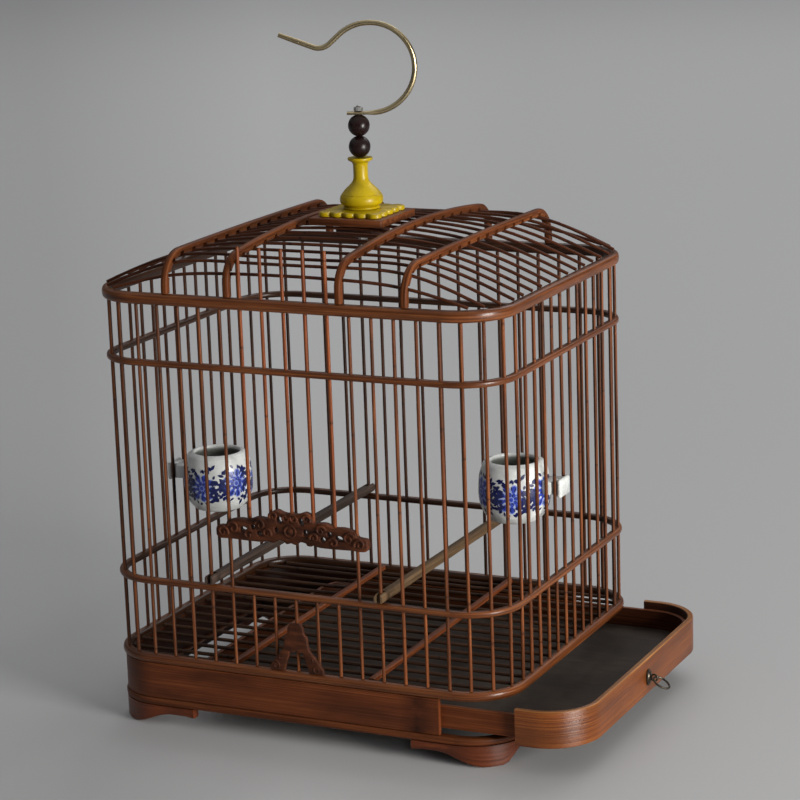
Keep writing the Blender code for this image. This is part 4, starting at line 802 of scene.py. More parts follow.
def makeFeet():
    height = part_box("foot_front_left")[1][2]
    half, soft = feet["thickness"] / 2, feet["edge"]
    middle = base["railProud"] - feet["setBack"] - half
    path = []  # place, direction outwards and lower edge, from the front arm's end to the side arm's end
    for i in range(24):
        x = plan["halfWidth"] - feet["front"] + (feet["front"] - plan["corner"]) * i / 24
        path.append((x, plan["halfDepth"], 0, 1, footBottom(plan["halfWidth"] - x, "front", height)))
    for i in range(13):
        a = math.pi / 2 * i / 12
        x, y = cornerPoint(1, 1, plan["corner"], a)
        along, arm = (plan["halfWidth"] - x, "front") if a < math.pi / 4 else (plan["halfDepth"] - y, "side")
        path.append((x, y, math.sin(a), math.cos(a), footBottom(along, arm, height)))
    for i in range(1, 16):
        y = straightY - (feet["side"] - plan["corner"]) * i / 15
        path.append((plan["halfWidth"], y, 1, 0, footBottom(plan["halfDepth"] - y, "side", height)))
    for name, (signX, signY) in corners.items():

        def fill(bm, uvLayer):
            rings = []
            for x, y, nx, ny, low in path:
                section = [(half, height), (half, low + soft), (half - soft * 0.3, low + soft * 0.3),
                           (half - soft, low), (-half + soft, low), (-half, low + soft), (-half, height)]
                ring = [(x + nx * (middle + s), y + ny * (middle + s), z) for s, z in section]
                rings.append([bm.verts.new((centreX + signX * px, signY * py, pz)) for px, py, pz in ring])
            us = [feet["sectionStep"] * i for i in range(len(rings))]
            skinRings(bm, uvLayer, rings, us, 0.04, signX * 0.3 + signY * 0.7)

        drawPiece(f"foot_{name}_carved", "cage", "foot", ["foot_" + name], fill, 45)


grate = {"radius": 0.0014, "drop": 0.0043, "sway": 0.0003,
         "crossPlace": 0.056, "crossWidth": 0.005, "crossEdge": 0.0007}


def makeGrate():
    z = sillHigh[2] - grate["drop"]
    inner = -base["sillWidth"] / 2 - seam
    rounded = [straightY + plan["corner"] * math.cos(math.radians(a)) for a in roof["cornerAngles"][1:]]

    def fillSlats(bm, uvLayer):
        for i, y in enumerate(sideBars + [-d for d in rounded] + rounded):
            rng = random.Random(300 + i)
            half = halfWidthAt(abs(y) + grate["radius"], inner)
            sway = rng.uniform(-grate["sway"], grate["sway"])
            points = [(centreX - half + 2 * half * k / 8, y + sway * math.sin(math.pi * k / 8), z) for k in range(9)]
            tubeAlong(bm, uvLayer, points, grate["radius"], 8, rng.uniform(0, 4))

    drawPiece("grateSlats", "cage", "slat", ["floor_grate"], fillSlats, 60)
    low, high = z + grate["radius"] - grate["crossEdge"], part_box("floor_grate")[1][2]
    section = roundedBox(grate["crossWidth"] / 2, (high - low) / 2, grate["crossEdge"])
    reach = plan["halfDepth"] + inner

    def fillCross(bm, uvLayer):
        for sign in (-1, 1):
            path = [(sign * grate["crossPlace"], -reach + 2 * reach * k / 8) for k in range(9)]
            sweepLevel(bm, uvLayer, path, section, (low + high) / 2, False, 3.1 + sign)

    drawPiece("grateCrossBars", "cage", "crossBar", (), fillCross)


runner = {"reach": 0.15445, "width": 0.006, "inset": 0.030, "seat": 0.0046, "edge": 0.0007}


def makeRunners():
    # two strips glued on the rail, under the tray
    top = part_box("base_rail")[1][2]
    for name, sign in (("runnerFront", -1), ("runnerBack", 1)):
        y = sign * (plan["halfDepth"] - runner["inset"])
        low = (centreX - runner["reach"], y - runner["width"] / 2, top - runner["seat"])
        high = (centreX + runner["reach"], y + runner["width"] / 2, top)
        drawPiece(name, "cage", "slat", (),
                  lambda bm, uv: softBox(bm, uv, low, high, runner["edge"]))


def makeTray():
    level, half = levelOf(frontLow, frontHigh)
    section = roundedBox(base["bandThickness"] / 2, half, tray["frontEdge"])
    turn = halfLoop(base["bandProud"] - base["bandThickness"] / 2, frontLow[0] - centreX - tray["opening"], 1, 18)
    path = [(x + tray["opening"], y) for x, y in turn]
    sweptPiece("trayFront", "tray", "trayFront", ["tray_front"], path, section, level, False, 5.2)
    level, half = levelOf(wallLow, wallHigh)
    section = roundedBox(tray["wall"] / 2, half, tray["wallEdge"])
    proud = base["bandProud"] - base["bandThickness"] - tray["clear"] - tray["wall"] / 2
    path = [(x + tray["opening"], y) for x, y in planLoop(proud, 16)]
    sweptPiece("trayWall", "tray", "trayWall", ["tray_wall"], path, section, level, uShift=7.7)
    floorLow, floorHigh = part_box("tray_floor")
    outline = planLoop(proud - tray["wall"] / 2 - tray["clear"], 12)

    def fillFloor(bm, uvLayer):
        rings = []
        for z, pull in ((floorLow[2], 0.0), (floorHigh[2] - 0.0004, 0.0), (floorHigh[2], tray["boardEdge"])):
            edge = [Vector(p) - Vector(p).normalized() * pull for p in outline]
            rings.append([bm.verts.new((centreX + tray["opening"] + x, y, z)) for x, y in edge])
        skinRings(bm, uvLayer, rings, [0, 0.003, 0.0035], 1.0)

    drawPiece("trayBoard", "tray", "trayBoard", ["tray_floor"], fillFloor, 40)


# the plate's rows are shares of its half height and how far they stand out
pull = {"plate": 0.0064, "oval": 0.72, "scallops": 12, "scallopDepth": 0.07, "eyeRadius": 0.0024, "eyeWire": 0.0007,
        "legWire": 0.00062, "ringRadius": 0.0064, "ringWire": 0.0008, "droop": 30.0,
        "rows": ((1.0, 0.0), (1.0, 0.0007), (0.93, 0.0012), (0.72, 0.0012), (0.66, 0.0016), (0.52, 0.0021),
                 (0.30, 0.0023))}


def makePull():
    low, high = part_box("pull_rosette")
    faceX, z = low[0], (low[2] + high[2]) / 2
    eyeX = high[0] - pull["eyeRadius"] - pull["eyeWire"]

    def fillPlate(bm, uvLayer):
        # an oval plate with a scalloped rim and a raised middle, then the eye on its two legs
        rings = []
        for share, out in pull["rows"]:
            ring = []
            for j, (c, s) in enumerate(circleSteps(48)):
                wave = 0.5 + 0.5 * math.cos(pull["scallops"] * 2 * math.pi * j / 48) if share > 0.9 else 0
                size = pull["plate"] * share * (1 - pull["scallopDepth"] * wave)
                ring.append(bm.verts.new((faceX + out, pull["oval"] * size * c, z + size * s)))
            rings.append(ring)
        skinRings(bm, uvLayer, rings, [i * 0.001 for i in range(len(rings))], 0.04)
        eye = [(eyeX + pull["eyeRadius"] * c, 0, z + pull["eyeRadius"] * s) for c, s in circleSteps(24)]
        tubeAlong(bm, uvLayer, eye, pull["eyeWire"], 10, 0.2, closed=True)
        for level in (z - 0.0005, z + 0.0005):
            leg = [(faceX + 0.001, 0, level), (eyeX - pull["eyeRadius"] * 0.96, 0, level)]
            tubeAlong(bm, uvLayer, leg, pull["legWire"], 8, 0.3)

    drawPiece("pullPlate", "tray", "bronze", ["pull_rosette"], fillPlate, 40)
    droop = math.radians(pull["droop"])
    points = []
    for c, s in circleSteps(48):
        across = pull["ringRadius"] * (1 + c)
        points.append((eyeX + across * math.cos(droop), pull["ringRadius"] * s, z - across * math.sin(droop)))

    def fillRing(bm, uvLayer):
        tubeAlong(bm, uvLayer, points, pull["ringWire"], 12, 0.1, closed=True)

    drawPiece("pullRing", "pull_ring", "bronze", ["pull_ring"], fillRing, 60)


# the vase's profile gives shares of its radius and height, from the top down
hanger = {"blockEdge": 0.0011, "petalWidth": 0.0496, "gaps": 4, "startAngle": 24, "beadRadius": 0.0080,
          "washerHeight": 0.0012, "washerRadius": 0.0088, "clampHeight": 0.0066, "clampWidth": 0.030,
          "clampEdge": 0.0008, "nutEdge": 0.0004, "washerBore": 0.0035, "washerEdge": 0.0003,
          "bore": 0.0019, "rodRadius": 0.0015, "thread": 0.0005,
          "vase": ((0.555, 1.000), (0.57, 0.990), (0.57, 0.962), (0.54, 0.945), (0.39, 0.905), (0.345, 0.850),
                   (0.338, 0.72), (0.345, 0.600), (0.40, 0.525), (0.56, 0.450), (0.76, 0.365), (0.885, 0.300),
                   (0.905, 0.290), (0.893, 0.281), (0.935, 0.271), (0.985, 0.220), (0.998, 0.165), (0.965, 0.105),
                   (0.84, 0.066), (0.775, 0.052), (0.835, 0.040), (0.85, 0.020), (0.83, 0.0))}


def makeBlockAndPetals():
    low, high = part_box("roof_block")
    drawPiece("roofBlock", "cage", "block", ["roof_block"],
              lambda bm, uv: softBox(bm, uv, low, high, hanger["blockEdge"]))
    plateLow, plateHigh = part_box("petal_plate")
    pitch = hanger["petalWidth"] / (hanger["gaps"] + 1)
    corner, start = hanger["gaps"] * pitch / 2, hanger["startAngle"]
    lobes = [(-corner + i * pitch, 360 - start) for i in range(1, hanger["gaps"])] + [(corner, 450 - start)]
    side = []
    for x, last in lobes:
        # round petals in a row, with a narrow notch between two
        first = 180 + start
        steps = round((last - first) / 11)
        angles = [math.radians(first + (last - first) * i / steps) for i in range(steps + 1)]
        side += [(x + pitch / 2 * math.cos(a), -corner + pitch / 2 * math.sin(a)) for a in angles]
    outline = []
    for quarter in range(4):
        turn = Matrix.Rotation(quarter * math.pi / 2, 2)
        outline += [tuple(turn @ Vector(p)) for p in side]

    def fillPetal(bm, uvLayer):
        bottom, top = plateLow[2], plateHigh[2]
        rows = ((0.985, bottom), (1.0, bottom + 0.0005), (1.0, top - 0.0010), (0.985, top - 0.0003), (0.955, top))
        rings = [[bm.verts.new((centreX + x * s, y * s, z)) for x, y in outline] for s, z in rows]
        skinRings(bm, uvLayer, rings, [0, 0.001, 0.002, 0.0025, 0.003], 0.2)

    drawPiece("petalPlate", "cage", "yellow", ["petal_plate"], fillPetal, 35)


def turnedPiece(name, look, replaced, profile, steps, z, sharpFrom):
    # a turned piece on the hanger's rod
    drawPiece(name, "cage", look, replaced,
              lambda bm, uv: lathe(bm, uv, profile, steps, (centreX, 0, z)), sharpFrom)


def makeTurnedStack():
    low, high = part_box("vase")
    height, radius = high[2] - low[2], (high[0] - low[0]) / 2
    profile = [(hanger["bore"] / radius, 1.0)] + smoothProfile(hanger["vase"], 3)
    profile = [(min(r, 1.0) * radius, min(max(z, 0.0), 1.0) * height) for r, z in profile]
    profile.append((hanger["bore"], 0.0))
    turnedPiece("turnedVase", "yellow", ["vase"], profile, 48, low[2], 40)
    for name in ("bead_lower", "bead_upper"):
        level, half = levelOf(*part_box(name))
        tall = half / math.sin(math.radians(72))
        end = tall * math.sin(math.radians(70))
        angles = [math.radians(a) for a in range(72, -73, -8)]
        profile = [(hanger["beadRadius"] * math.cos(a), tall * math.sin(a)) for a in angles]
        profile = [(hanger["bore"], end)] + profile + [(hanger["bore"], -end)]
        turnedPiece(name + "_turned", "bead", [name], profile, 36, level, 60)


def makeClamp():
    # the nuts, washer, clamp block and rod that hold the stack on the roof
    nutLow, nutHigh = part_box("hook_nut")
    boltLow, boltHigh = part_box("hanger_bolt")
    nutRadius, nutHeight = (nutHigh[0] - nutLow[0]) / 2, nutHigh[2] - nutLow[2]
    for name, bottom, replaced in (("hookNut", nutLow[2], ["hook_nut"]), ("boltHead", boltLow[2], [])):
        top = bottom + nutHeight

        def fillNut(bm, uvLayer):
            rings = []
            for share, z in ((0.90, bottom), (1.0, bottom + hanger["nutEdge"]), (1.0, top - hanger["nutEdge"]),
                             (0.90, top), (0.60, top), (0.52, top - 0.0005)):
                ring = []
                for j, (c, s) in enumerate(circleSteps(36)):
                    turn = (2 * math.pi * j / 36 + math.pi / 6) % (math.pi / 3) - math.pi / 6
                    r = nutRadius * share * (math.cos(math.pi / 6) / math.cos(turn) if share > 0.8 else 0.9)
                    ring.append(bm.verts.new((centreX + r * c, r * s, z)))
                rings.append(ring)
            skinRings(bm, uvLayer, rings, list(range(len(rings))), 0.02)

        drawPiece(name, "cage", "steel", replaced, fillNut, 30)
    washerLow = boltLow[2] + nutHeight
    clampLow, wide = washerLow + hanger["washerHeight"], hanger["washerRadius"]
    bore, edge = hanger["washerBore"], hanger["washerEdge"]
    washer = [(bore, clampLow), (wide - edge * 2 / 3, clampLow), (wide, clampLow - edge),
              (wide, washerLow + edge), (wide - edge * 2 / 3, washerLow), (bore, washerLow)]
    turnedPiece("clampWasher", "steel", (), washer, 40, 0, 30)
    half, clampHigh = hanger["clampWidth"] / 2, clampLow + hanger["clampHeight"]
    low, high = (centreX - half, -half, clampLow), (centreX + half, half, clampHigh)
    drawPiece("clampBlock", "cage", "clamp", (),
              lambda bm, uv: softBox(bm, uv, low, high, hanger["clampEdge"]))

    def fillRod(bm, uvLayer):
        # threads as fine ridges
        rows, z, end = [], clampHigh - 0.0005, boltHigh[2]
        while z < end - 0.0006:
            rows += [(0.86, z), (0.97, z + hanger["thread"] / 2)]
            z += hanger["thread"]
        rows += [(0.9, end - 0.0004), (0.6, end)]
        rings = [[bm.verts.new((centreX + hanger["rodRadius"] * share * c, hanger["rodRadius"] * share * s, z))
                  for c, s in circleSteps(16)] for share, z in rows]
        skinRings(bm, uvLayer, rings, [hanger["thread"] * k for k in range(len(rings))], 0.01)

    drawPiece("threadedRod", "cage", "steel", ["hanger_bolt"], fillRod)


# the hook's wire is hammered flat where it lies on the upper bead, between the stations of its foot
hook = {"wire": 0.002, "radius": 0.0327, "turn": 22.0, "shift": 0.0095, "sweep": 222.0, "backRun": 0.009,
        "curl": 0.012, "curlTurn": 66.0, "tip": 0.026, "footWide": 0.0030, "footThin": 0.0012,
        "foot": (-0.0083, -0.0081, -0.0040, 0.0, 0.0035, 0.0070), "blendRun": 0.006}


def hookLine():
    centre = Vector((hook["shift"], hook["radius"]))
    points = [Vector((x, 0)) for x in hook["foot"]]
    for i in range(45):
        a = math.radians(-90 + hook["sweep"] * i / 44)
        points.append(centre + hook["radius"] * Vector((math.cos(a), math.sin(a))))
    heading = math.radians(hook["sweep"])
    ahead = Vector((math.cos(heading), math.sin(heading)))
    side = Vector((ahead.y, -ahead.x))
    start = points[-1] + ahead * hook["backRun"]
    points += [points[-1] + ahead * hook["backRun"] * 0.5, start]
    for i in range(1, 13):
        a = math.radians(hook["curlTurn"]) * i / 12
        points.append(start + hook["curl"] * (ahead * math.sin(a) + side * (1 - math.cos(a))))
    last = (points[-1] - points[-2]).normalized()
    return points + [points[-1] + last * hook["tip"] * 0.5, points[-1] + last * hook["tip"]]


def makeHook():
    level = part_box("hook_nut")[0][2] - seam - hook["footThin"]
    line = hookLine()
    turn = math.radians(hook["turn"])
    ahead, normal = Vector((math.cos(turn), math.sin(turn), 0)), Vector((-math.sin(turn), math.cos(turn), 0))

    def fill(bm, uvLayer):
        points = [Vector((centreX + p.x * ahead.x, p.x * ahead.y, level + p.y)) for p in line]
        rings, us, u = [], [], 0.0
        for i, point in enumerate(points):
            before, after = points[max(i - 1, 0)], points[min(i + 1, len(points) - 1)]
            up = (after - before).normalized().cross(normal)
            blend = min(max((line[i].x - hook["foot"][-1]) / hook["blendRun"], 0.0), 1.0) if i < 12 else 1.0
            wide, thin = (flat + (hook["wire"] - flat) * blend for flat in (hook["footWide"], hook["footThin"]))
            if i == len(points) - 1:
                wide, thin = wide * 0.86, thin * 0.86
            section = closedOutline(wide, thin, 3.6 - 1.6 * blend, 16, 0)
            rings.append([bm.verts.new(point + normal * a + up * b) for a, b in section])
            us.append(u)
            u += (after - point).length
        skinRings(bm, uvLayer, rings, us, 0.0125)

    drawPiece("bentHook", "hook", "brass", ["hook"], fill, 60)


makeFeet()
makeGrate()
makeRunners()
makeTray()
makePull()
makeBlockAndPetals()
makeTurnedStack()
makeClamp()
makeHook()
print("base, tray and hanger made")

# shares of the plaque's half width and height: its outline, its holes with their sizes, and its raised scrolls
# with their size, first angle, turn and growth; the boss rows are radius and how far they stand out
door = {"halfWidth": 0.0605, "height": 0.025, "thickness": 0.0062, "edge": 0.0009, "frontShare": 0.62, "sideGaps": 3,
        "holeSize": 1.22, "scrollWire": 0.00115, "bossLevel": 0.41,
        "top": ((1.000, 0.10), (1.000, 0.30), (0.970, 0.38), (0.870, 0.41), (0.850, 0.53), (0.780, 0.60),
                (0.680, 0.64), (0.580, 0.63), (0.520, 0.67), (0.450, 0.73), (0.360, 0.72), (0.310, 0.71),
                (0.280, 0.84), (0.240, 0.95), (0.180, 0.992), (0.110, 0.93), (0.050, 0.91), (0.0, 0.95)),
        "foot": ((0.975, 0.03), (0.930, 0.008), (0.800, 0.02), (0.600, 0.008), (0.380, 0.01), (0.310, 0.06),
                 (0.260, 0.02), (0.215, 0.03), (0.190, 0.10), (0.135, 0.12), (0.090, 0.08), (0.060, 0.02), (0.0, 0.06)),
        "holes": ((0.630, 0.34, 0.085, 0.060), (0.505, 0.44, 0.050, 0.050), (0.420, 0.26, 0.060, 0.060),
                  (0.147, 0.72, 0.060, 0.085), (0.190, 0.41, 0.045, 0.075)),
        "scrolls": ((0.905, 0.22, 0.075, 200, -420, 0.22), (0.765, 0.36, 0.080, 20, 400, 0.20),
                    (0.560, 0.20, 0.065, 150, -380, 0.25), (0.400, 0.52, 0.070, 10, 400, 0.22),
                    (0.315, 0.30, 0.062, 200, -420, 0.22), (0.215, 0.82, 0.060, 330, 400, 0.22),
                    (0.060, 0.80, 0.055, 160, 400, 0.22)),
        "boss": ((0.0001, 0.0012), (0.0014, 0.00115), (0.0024, 0.0007), (0.0028, 0.0003),
                 (0.0033, 0.0006), (0.0043, 0.0011), (0.0048, 0.0009), (0.0050, 0.0))}
carving = {"halfWidth": 0.0215, "height": 0.0365, "thickness": 0.0030, "edge": 0.0007, "scrollWire": 0.0007,
           "outer": ((1.00, 0.00), (1.00, 0.09), (0.91, 0.16), (0.80, 0.24), (0.66, 0.35), (0.51, 0.46),
                     (0.44, 0.58), (0.41, 0.72), (0.31, 0.79), (0.29, 0.90), (0.18, 0.995), (0.0, 0.995)),
           "inner": ((0.0, 0.44), (0.12, 0.40), (0.23, 0.42), (0.30, 0.31), (0.36, 0.20), (0.43, 0.09), (0.46, 0.00)),
           "scrolls": ((0.76, 0.10, 0.14, 90, 420, 0.25), (0.56, 0.27, 0.08, 60, -300, 0.25))}


def scaledProfile(shape, points):
    return smoothProfile([(shape["halfWidth"] * x, shape["height"] * z) for x, z in points], 3)


def mirrored(half):
    # the left side of an outline whose right side ends at the middle
    return [(-x, z) for x, z in reversed(half) if x > 1e-7]


def carvedPlate(outer, holes, thickness, bevel, front, bottom):
    # a cut-out plate with rounded edges, standing in XZ with its front face at y = front
    curve = bpy.data.curves.new("carvedOutline", "CURVE")
    curve.dimensions = "2D"
    curve.fill_mode = "BOTH"
    curve.extrude = thickness / 2 - bevel
    curve.bevel_depth = bevel
    curve.bevel_resolution = 2
    curve.offset = -bevel
    for loop in [outer] + holes:
        spline = curve.splines.new("POLY")
        spline.points.add(len(loop) - 1)
        for corner, (x, z) in zip(spline.points, loop):
            corner.co = (x, z, 0, 1)
        spline.use_cyclic_u = True
    maker = bpy.data.objects.new("carvedOutline", curve)
    scene.collection.objects.link(maker)
    bpy.context.view_layer.update()
    graph = bpy.context.evaluated_depsgraph_get()
    mesh = bpy.data.meshes.new_from_object(maker.evaluated_get(graph), depsgraph=graph)
    bpy.data.objects.remove(maker, do_unlink=True)
    place = Matrix.Translation((centreX, front + thickness / 2, bottom))
    mesh.transform(place @ Matrix.Rotation(math.pi / 2, 4, "X"))
    bm = bmesh.new()
    bm.from_mesh(mesh)
    bmesh.ops.remove_doubles(bm, verts=bm.verts, dist=0.00001)
    bpy.data.meshes.remove(mesh)
    return bm


def carveScrolls(bm, uvLayer, shape, face, bottom):
    # raised scrolls to both sides of the middle, as tubes half sunk into the face
    wide, tall, count = shape["halfWidth"], shape["height"], 18
    for sign in (-1, 1):
        for cx, cz, size, start, turn, growth in shape["scrolls"]:
            points, radii = [], []
            for i in range(count + 1):
                t = i / count
                a, r = math.radians(start + turn * t), wide * size * (1 - (1 - growth) * t)
                x, z = wide * cx + r * math.cos(a), tall * cz + r * math.sin(a)
                points.append((centreX + sign * x, face, bottom + z))
                radii.append(shape["scrollWire"] * (1 - 0.4 * t))
            tubeAlong(bm, uvLayer, points, radii, 8, cx)


def makeDoor():
    low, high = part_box("door")
    wide, tall = door["halfWidth"], door["height"]
    outline = scaledProfile(door, door["foot"][::-1]) + scaledProfile(door, door["top"])
    holes = []
    for x, z, w, h in door["holes"]:
        halfW, halfH = wide * w / 2 * door["holeSize"], tall * h * door["holeSize"]
        for sign in (-1, 1):
            holes.append([(sign * wide * x + halfW * c, tall * z + halfH * s) for c, s in circleSteps(16)])
    face = -plan["halfDepth"] - door["thickness"] * door["frontShare"]
    bm = carvedPlate(outline + mirrored(outline), holes, door["thickness"], door["edge"], face, low[2])
    uvLayer = bm.loops.layers.uv.new("grain")
    carveScrolls(bm, uvLayer, door, face - 0.00005, low[2])
    middle = low[2] + tall * door["bossLevel"]
    rings = [[bm.verts.new((centreX + r * c, face - out, middle + r * s)) for c, s in circleSteps(32)]
             for r, out in door["boss"]]
    skinRings(bm, uvLayer, rings, [k * 0.001 for k in range(len(rings))], 0.03)
    addPiece("doorPlaque", bm, "door", "carved", ["door"], 35)

    def fillBars(bm, uvLayer):
        for i in range(1 - door["sideGaps"], door["sideGaps"]):
            straightBar(bm, uvLayer, i * frontPitch, -plan["halfDepth"], low[2] + tall * 0.5, high[2], 900 + i, True)

    drawPiece("doorBars", "door", "doorBar", (), fillBars, 60)


def makeCarving():
    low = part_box("door_foot_carving")[0]
    outer, inner = scaledProfile(carving, carving["outer"]), scaledProfile(carving, carving["inner"])
    loop = outer + mirrored(outer) + mirrored(inner) + inner
    clean = [p for i, p in enumerate(loop) if math.dist(p, loop[i - 1]) > 0.0003]
    bm = carvedPlate(clean, [], carving["thickness"], carving["edge"], low[1], low[2])
    carveScrolls(bm, bm.loops.layers.uv.new("grain"), carving, low[1] + 0.0002, low[2])
    addPiece("doorFootCarving", bm, "cage", "carved", ["door_foot_carving"], 35)


perch = {"radius": 0.0037, "power": 3.4, "fork": 0.011, "slot": 0.00165, "rows": 25}


def makePerches():
    for name, look in (("perch_left", "perchLeft"), ("perch_right", "perchRight")):
        low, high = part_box(name)
        x0, (z0, half) = (low[0] + high[0]) / 2, levelOf(low, high)

        def fill(bm, uvLayer):
            # a whittled stick, then the two prongs at each end that grip a bar
            section = closedOutline(perch["radius"] * 0.97, half * 0.985, perch["power"], 24)
            reach, fork, slot = high[1] - perch["fork"], perch["fork"], perch["slot"]
            rng = random.Random(5)
            rings = []
            us = [-reach + 2 * reach * i / (perch["rows"] - 1) for i in range(perch["rows"])]
            for y in us:
                size = 1 - 0.02 * rng.random()
                rings.append([bm.verts.new((x0 + a * size, y, z0 + b * size)) for a, b in section])
            skinRings(bm, uvLayer, rings, us, 0.022)
            rows = ((reach - 0.0005, 1.0), (reach + fork * 0.6, 1.0),
                    (reach + fork - 0.0012, 0.98), (reach + fork - 0.0002, 0.82))
            for end in (-1, 1):
                for side in (-1, 1):
                    flat = side * slot
                    prong = [(max(a * side, slot) * side, b) for a, b in section if a * side > 0.0002]
                    prong.sort(key=lambda p: math.atan2(p[1], p[0] - side * (slot + 0.0009)))
                    rings = [[bm.verts.new((x0 + flat + (a - flat) * s, end * y, z0 + b * s)) for a, b in prong]
                             for y, s in rows]
                    skinRings(bm, uvLayer, rings, [y for y, _ in rows], 0.015)

        drawPiece(name + "_stick", name, look, [name], fill, 45)


# outside and hollow are shares of radius and height; lug sizes are for the inner block, the neck and the end block;
# petals are count, first angle, near, far and width
cup = {"radius": 0.0263, "height": 0.044, "wall": 0.0028, "standOff": 0.035, "rim": 0.66, "lugShare": 0.62,
       "outside": ((0.62, 0.00), (0.70, 0.020), (0.76, 0.055), (0.88, 0.15), (0.97, 0.30), (1.00, 0.46),
                   (0.99, 0.64), (0.96, 0.80), (0.89, 0.93), (0.86, 0.970), (0.80, 1.00)),
       "hollow": ((0.82, 0.22), (0.885, 0.46), (0.86, 0.70), (0.76, 0.88), (0.66, 0.955), (0.66, 0.995)),
       "blockHalf": 0.009, "lugHeights": (0.0051, 0.006, 0.00675), "lugEdges": (0.0014, 0.0012, 0.0011),
       "blossoms": 6, "bandMiddle": 0.51, "upAndDown": 0.0014,
       "petals": {"paleBlue": ((9, 0.0, 0.0040, 0.0114, 0.0053),),
                  "midBlue": ((9, 0.0, 0.0048, 0.0106, 0.0034), (8, 0.4, 0.0020, 0.0056, 0.0026)),
                  "darkBlue": ((9, 0.0, 0.0060, 0.0094, 0.0010), (9, 0.35, 0.0068, 0.0098, 0.0010),
                               (8, 0.0, 0.0022, 0.0046, 0.0010))},
       "discs": {"paleBlue": (0.0046, 14), "midBlue": (0.0016, 9)},
       "lifts": {"paleBlue": 0.00005, "midBlue": 0.00008, "darkBlue": 0.00011},
       "bandLeaves": {"count": 52, "across": 0.0046, "up": 0.0128,
                      "length": (0.0038, 0.0058), "width": (0.0022, 0.0032)},
       "ringLeaves": {"count": 18, "reach": (0.0106, 0.0122), "length": (0.0030, 0.0044), "width": (0.0017, 0.0024)}}
cupCurve = smoothProfile([(h * cup["height"], r * cup["radius"]) for r, h in cup["outside"]], 6)


def cupRadiusAt(z):
    for (z0, r0), (z1, r1) in zip(cupCurve, cupCurve[1:]):
        if z0 <= z <= z1:
            return r0 + (r1 - r0) * (z - z0) / max(z1 - z0, 1e-9)
    return cupCurve[-1][1]


def paintPatch(bm, centre, turn, height, points, lift):
    # a small painted shape laid on the cup's round side; points are in metres across and up
    cx, cy, cz = centre
    count = len(points)
    middle = (sum(p[0] for p in points) / count, sum(p[1] for p in points) / count)
    half = [((p[0] + middle[0]) / 2, (p[1] + middle[1]) / 2) for p in points]
    verts = []
    for across, up in [middle] + half + points:
        r, a = cupRadiusAt(height + up) + lift, turn + across / cup["radius"]
        verts.append(bm.verts.new((cx + r * math.cos(a), cy + r * math.sin(a), cz + height + up)))
    for j in range(count):
        k = (j + 1) % count
        bm.faces.new((verts[0], verts[1 + j], verts[1 + k]))
        bm.faces.new((verts[1 + j], verts[1 + count + j], verts[1 + count + k], verts[1 + k]))


def turned(points, angle, at=(0, 0)):
    c, s = math.cos(angle), math.sin(angle)
    return [(at[0] + x * c - y * s, at[1] + x * s + y * c) for x, y in points]


def petalShape(angle, near, far, width, count=9):
    # a round-ended petal pointing along angle
    middle, reach = (near + far) / 2, (far - near) / 2
    return turned([(middle + reach * c, width / 2 * s * (1.0 + 0.25 * c)) for c, s in circleSteps(count)], angle)


def leafShape(angle, length, width, at):
    outline = ((0, 0), (0.25, 0.36), (0.5, 0.5), (0.78, 0.30), (1.0, 0), (0.78, -0.30), (0.5, -0.5), (0.25, -0.36))
    return turned([(length * x, width * y) for x, y in outline], angle, at)


def paintCup(bm, centre, shade, firstTurn):
    # a band of blossoms round the cup in one shade of blue, and leaves between them in the darkest
    rng = random.Random(41)
    middle, lift = cup["height"] * cup["bandMiddle"], cup["lifts"][shade]
    for b in range(cup["blossoms"]):
        turn = 2 * math.pi * (b + 0.5) / cup["blossoms"] + firstTurn
        up = middle + (cup["upAndDown"] if b % 2 else -cup["upAndDown"])
        spin = rng.uniform(0, 1)
        for count, start, near, far, width in cup["petals"][shade]:
            for k in range(count):
                petal = petalShape(spin + start + 2 * math.pi * k / count, near, far, width)
                paintPatch(bm, centre, turn, up, petal, lift)
        if shade in cup["discs"]:
            radius, count = cup["discs"][shade]
            paintPatch(bm, centre, turn, up, petalShape(0, -radius, radius, 2 * radius, count), lift)
        if shade != "darkBlue":
            continue
        half, band, ring = math.pi / cup["blossoms"] * cup["radius"], cup["bandLeaves"], cup["ringLeaves"]
        for _ in range(band["count"]):
            x, z = half + rng.uniform(-band["across"], band["across"]), rng.uniform(-band["up"], band["up"])
            x += math.copysign(abs(z) * 0.32, x - half)
            leaf = leafShape(rng.uniform(0, 6.28), rng.uniform(*band["length"]), rng.uniform(*band["width"]), (x, z))
            paintPatch(bm, centre, turn, middle, leaf, lift)
        for k in range(ring["count"]):
            a = 2 * math.pi * k / ring["count"] + rng.uniform(-0.12, 0.12)
            reach = rng.uniform(*ring["reach"])
            angle, length, width = a + rng.uniform(-0.9, 0.9), rng.uniform(*ring["length"]), rng.uniform(*ring["width"])
            leaf = leafShape(angle, length, width, (reach * math.cos(a), reach * math.sin(a)))
            paintPatch(bm, centre, turn, up, leaf, lift)


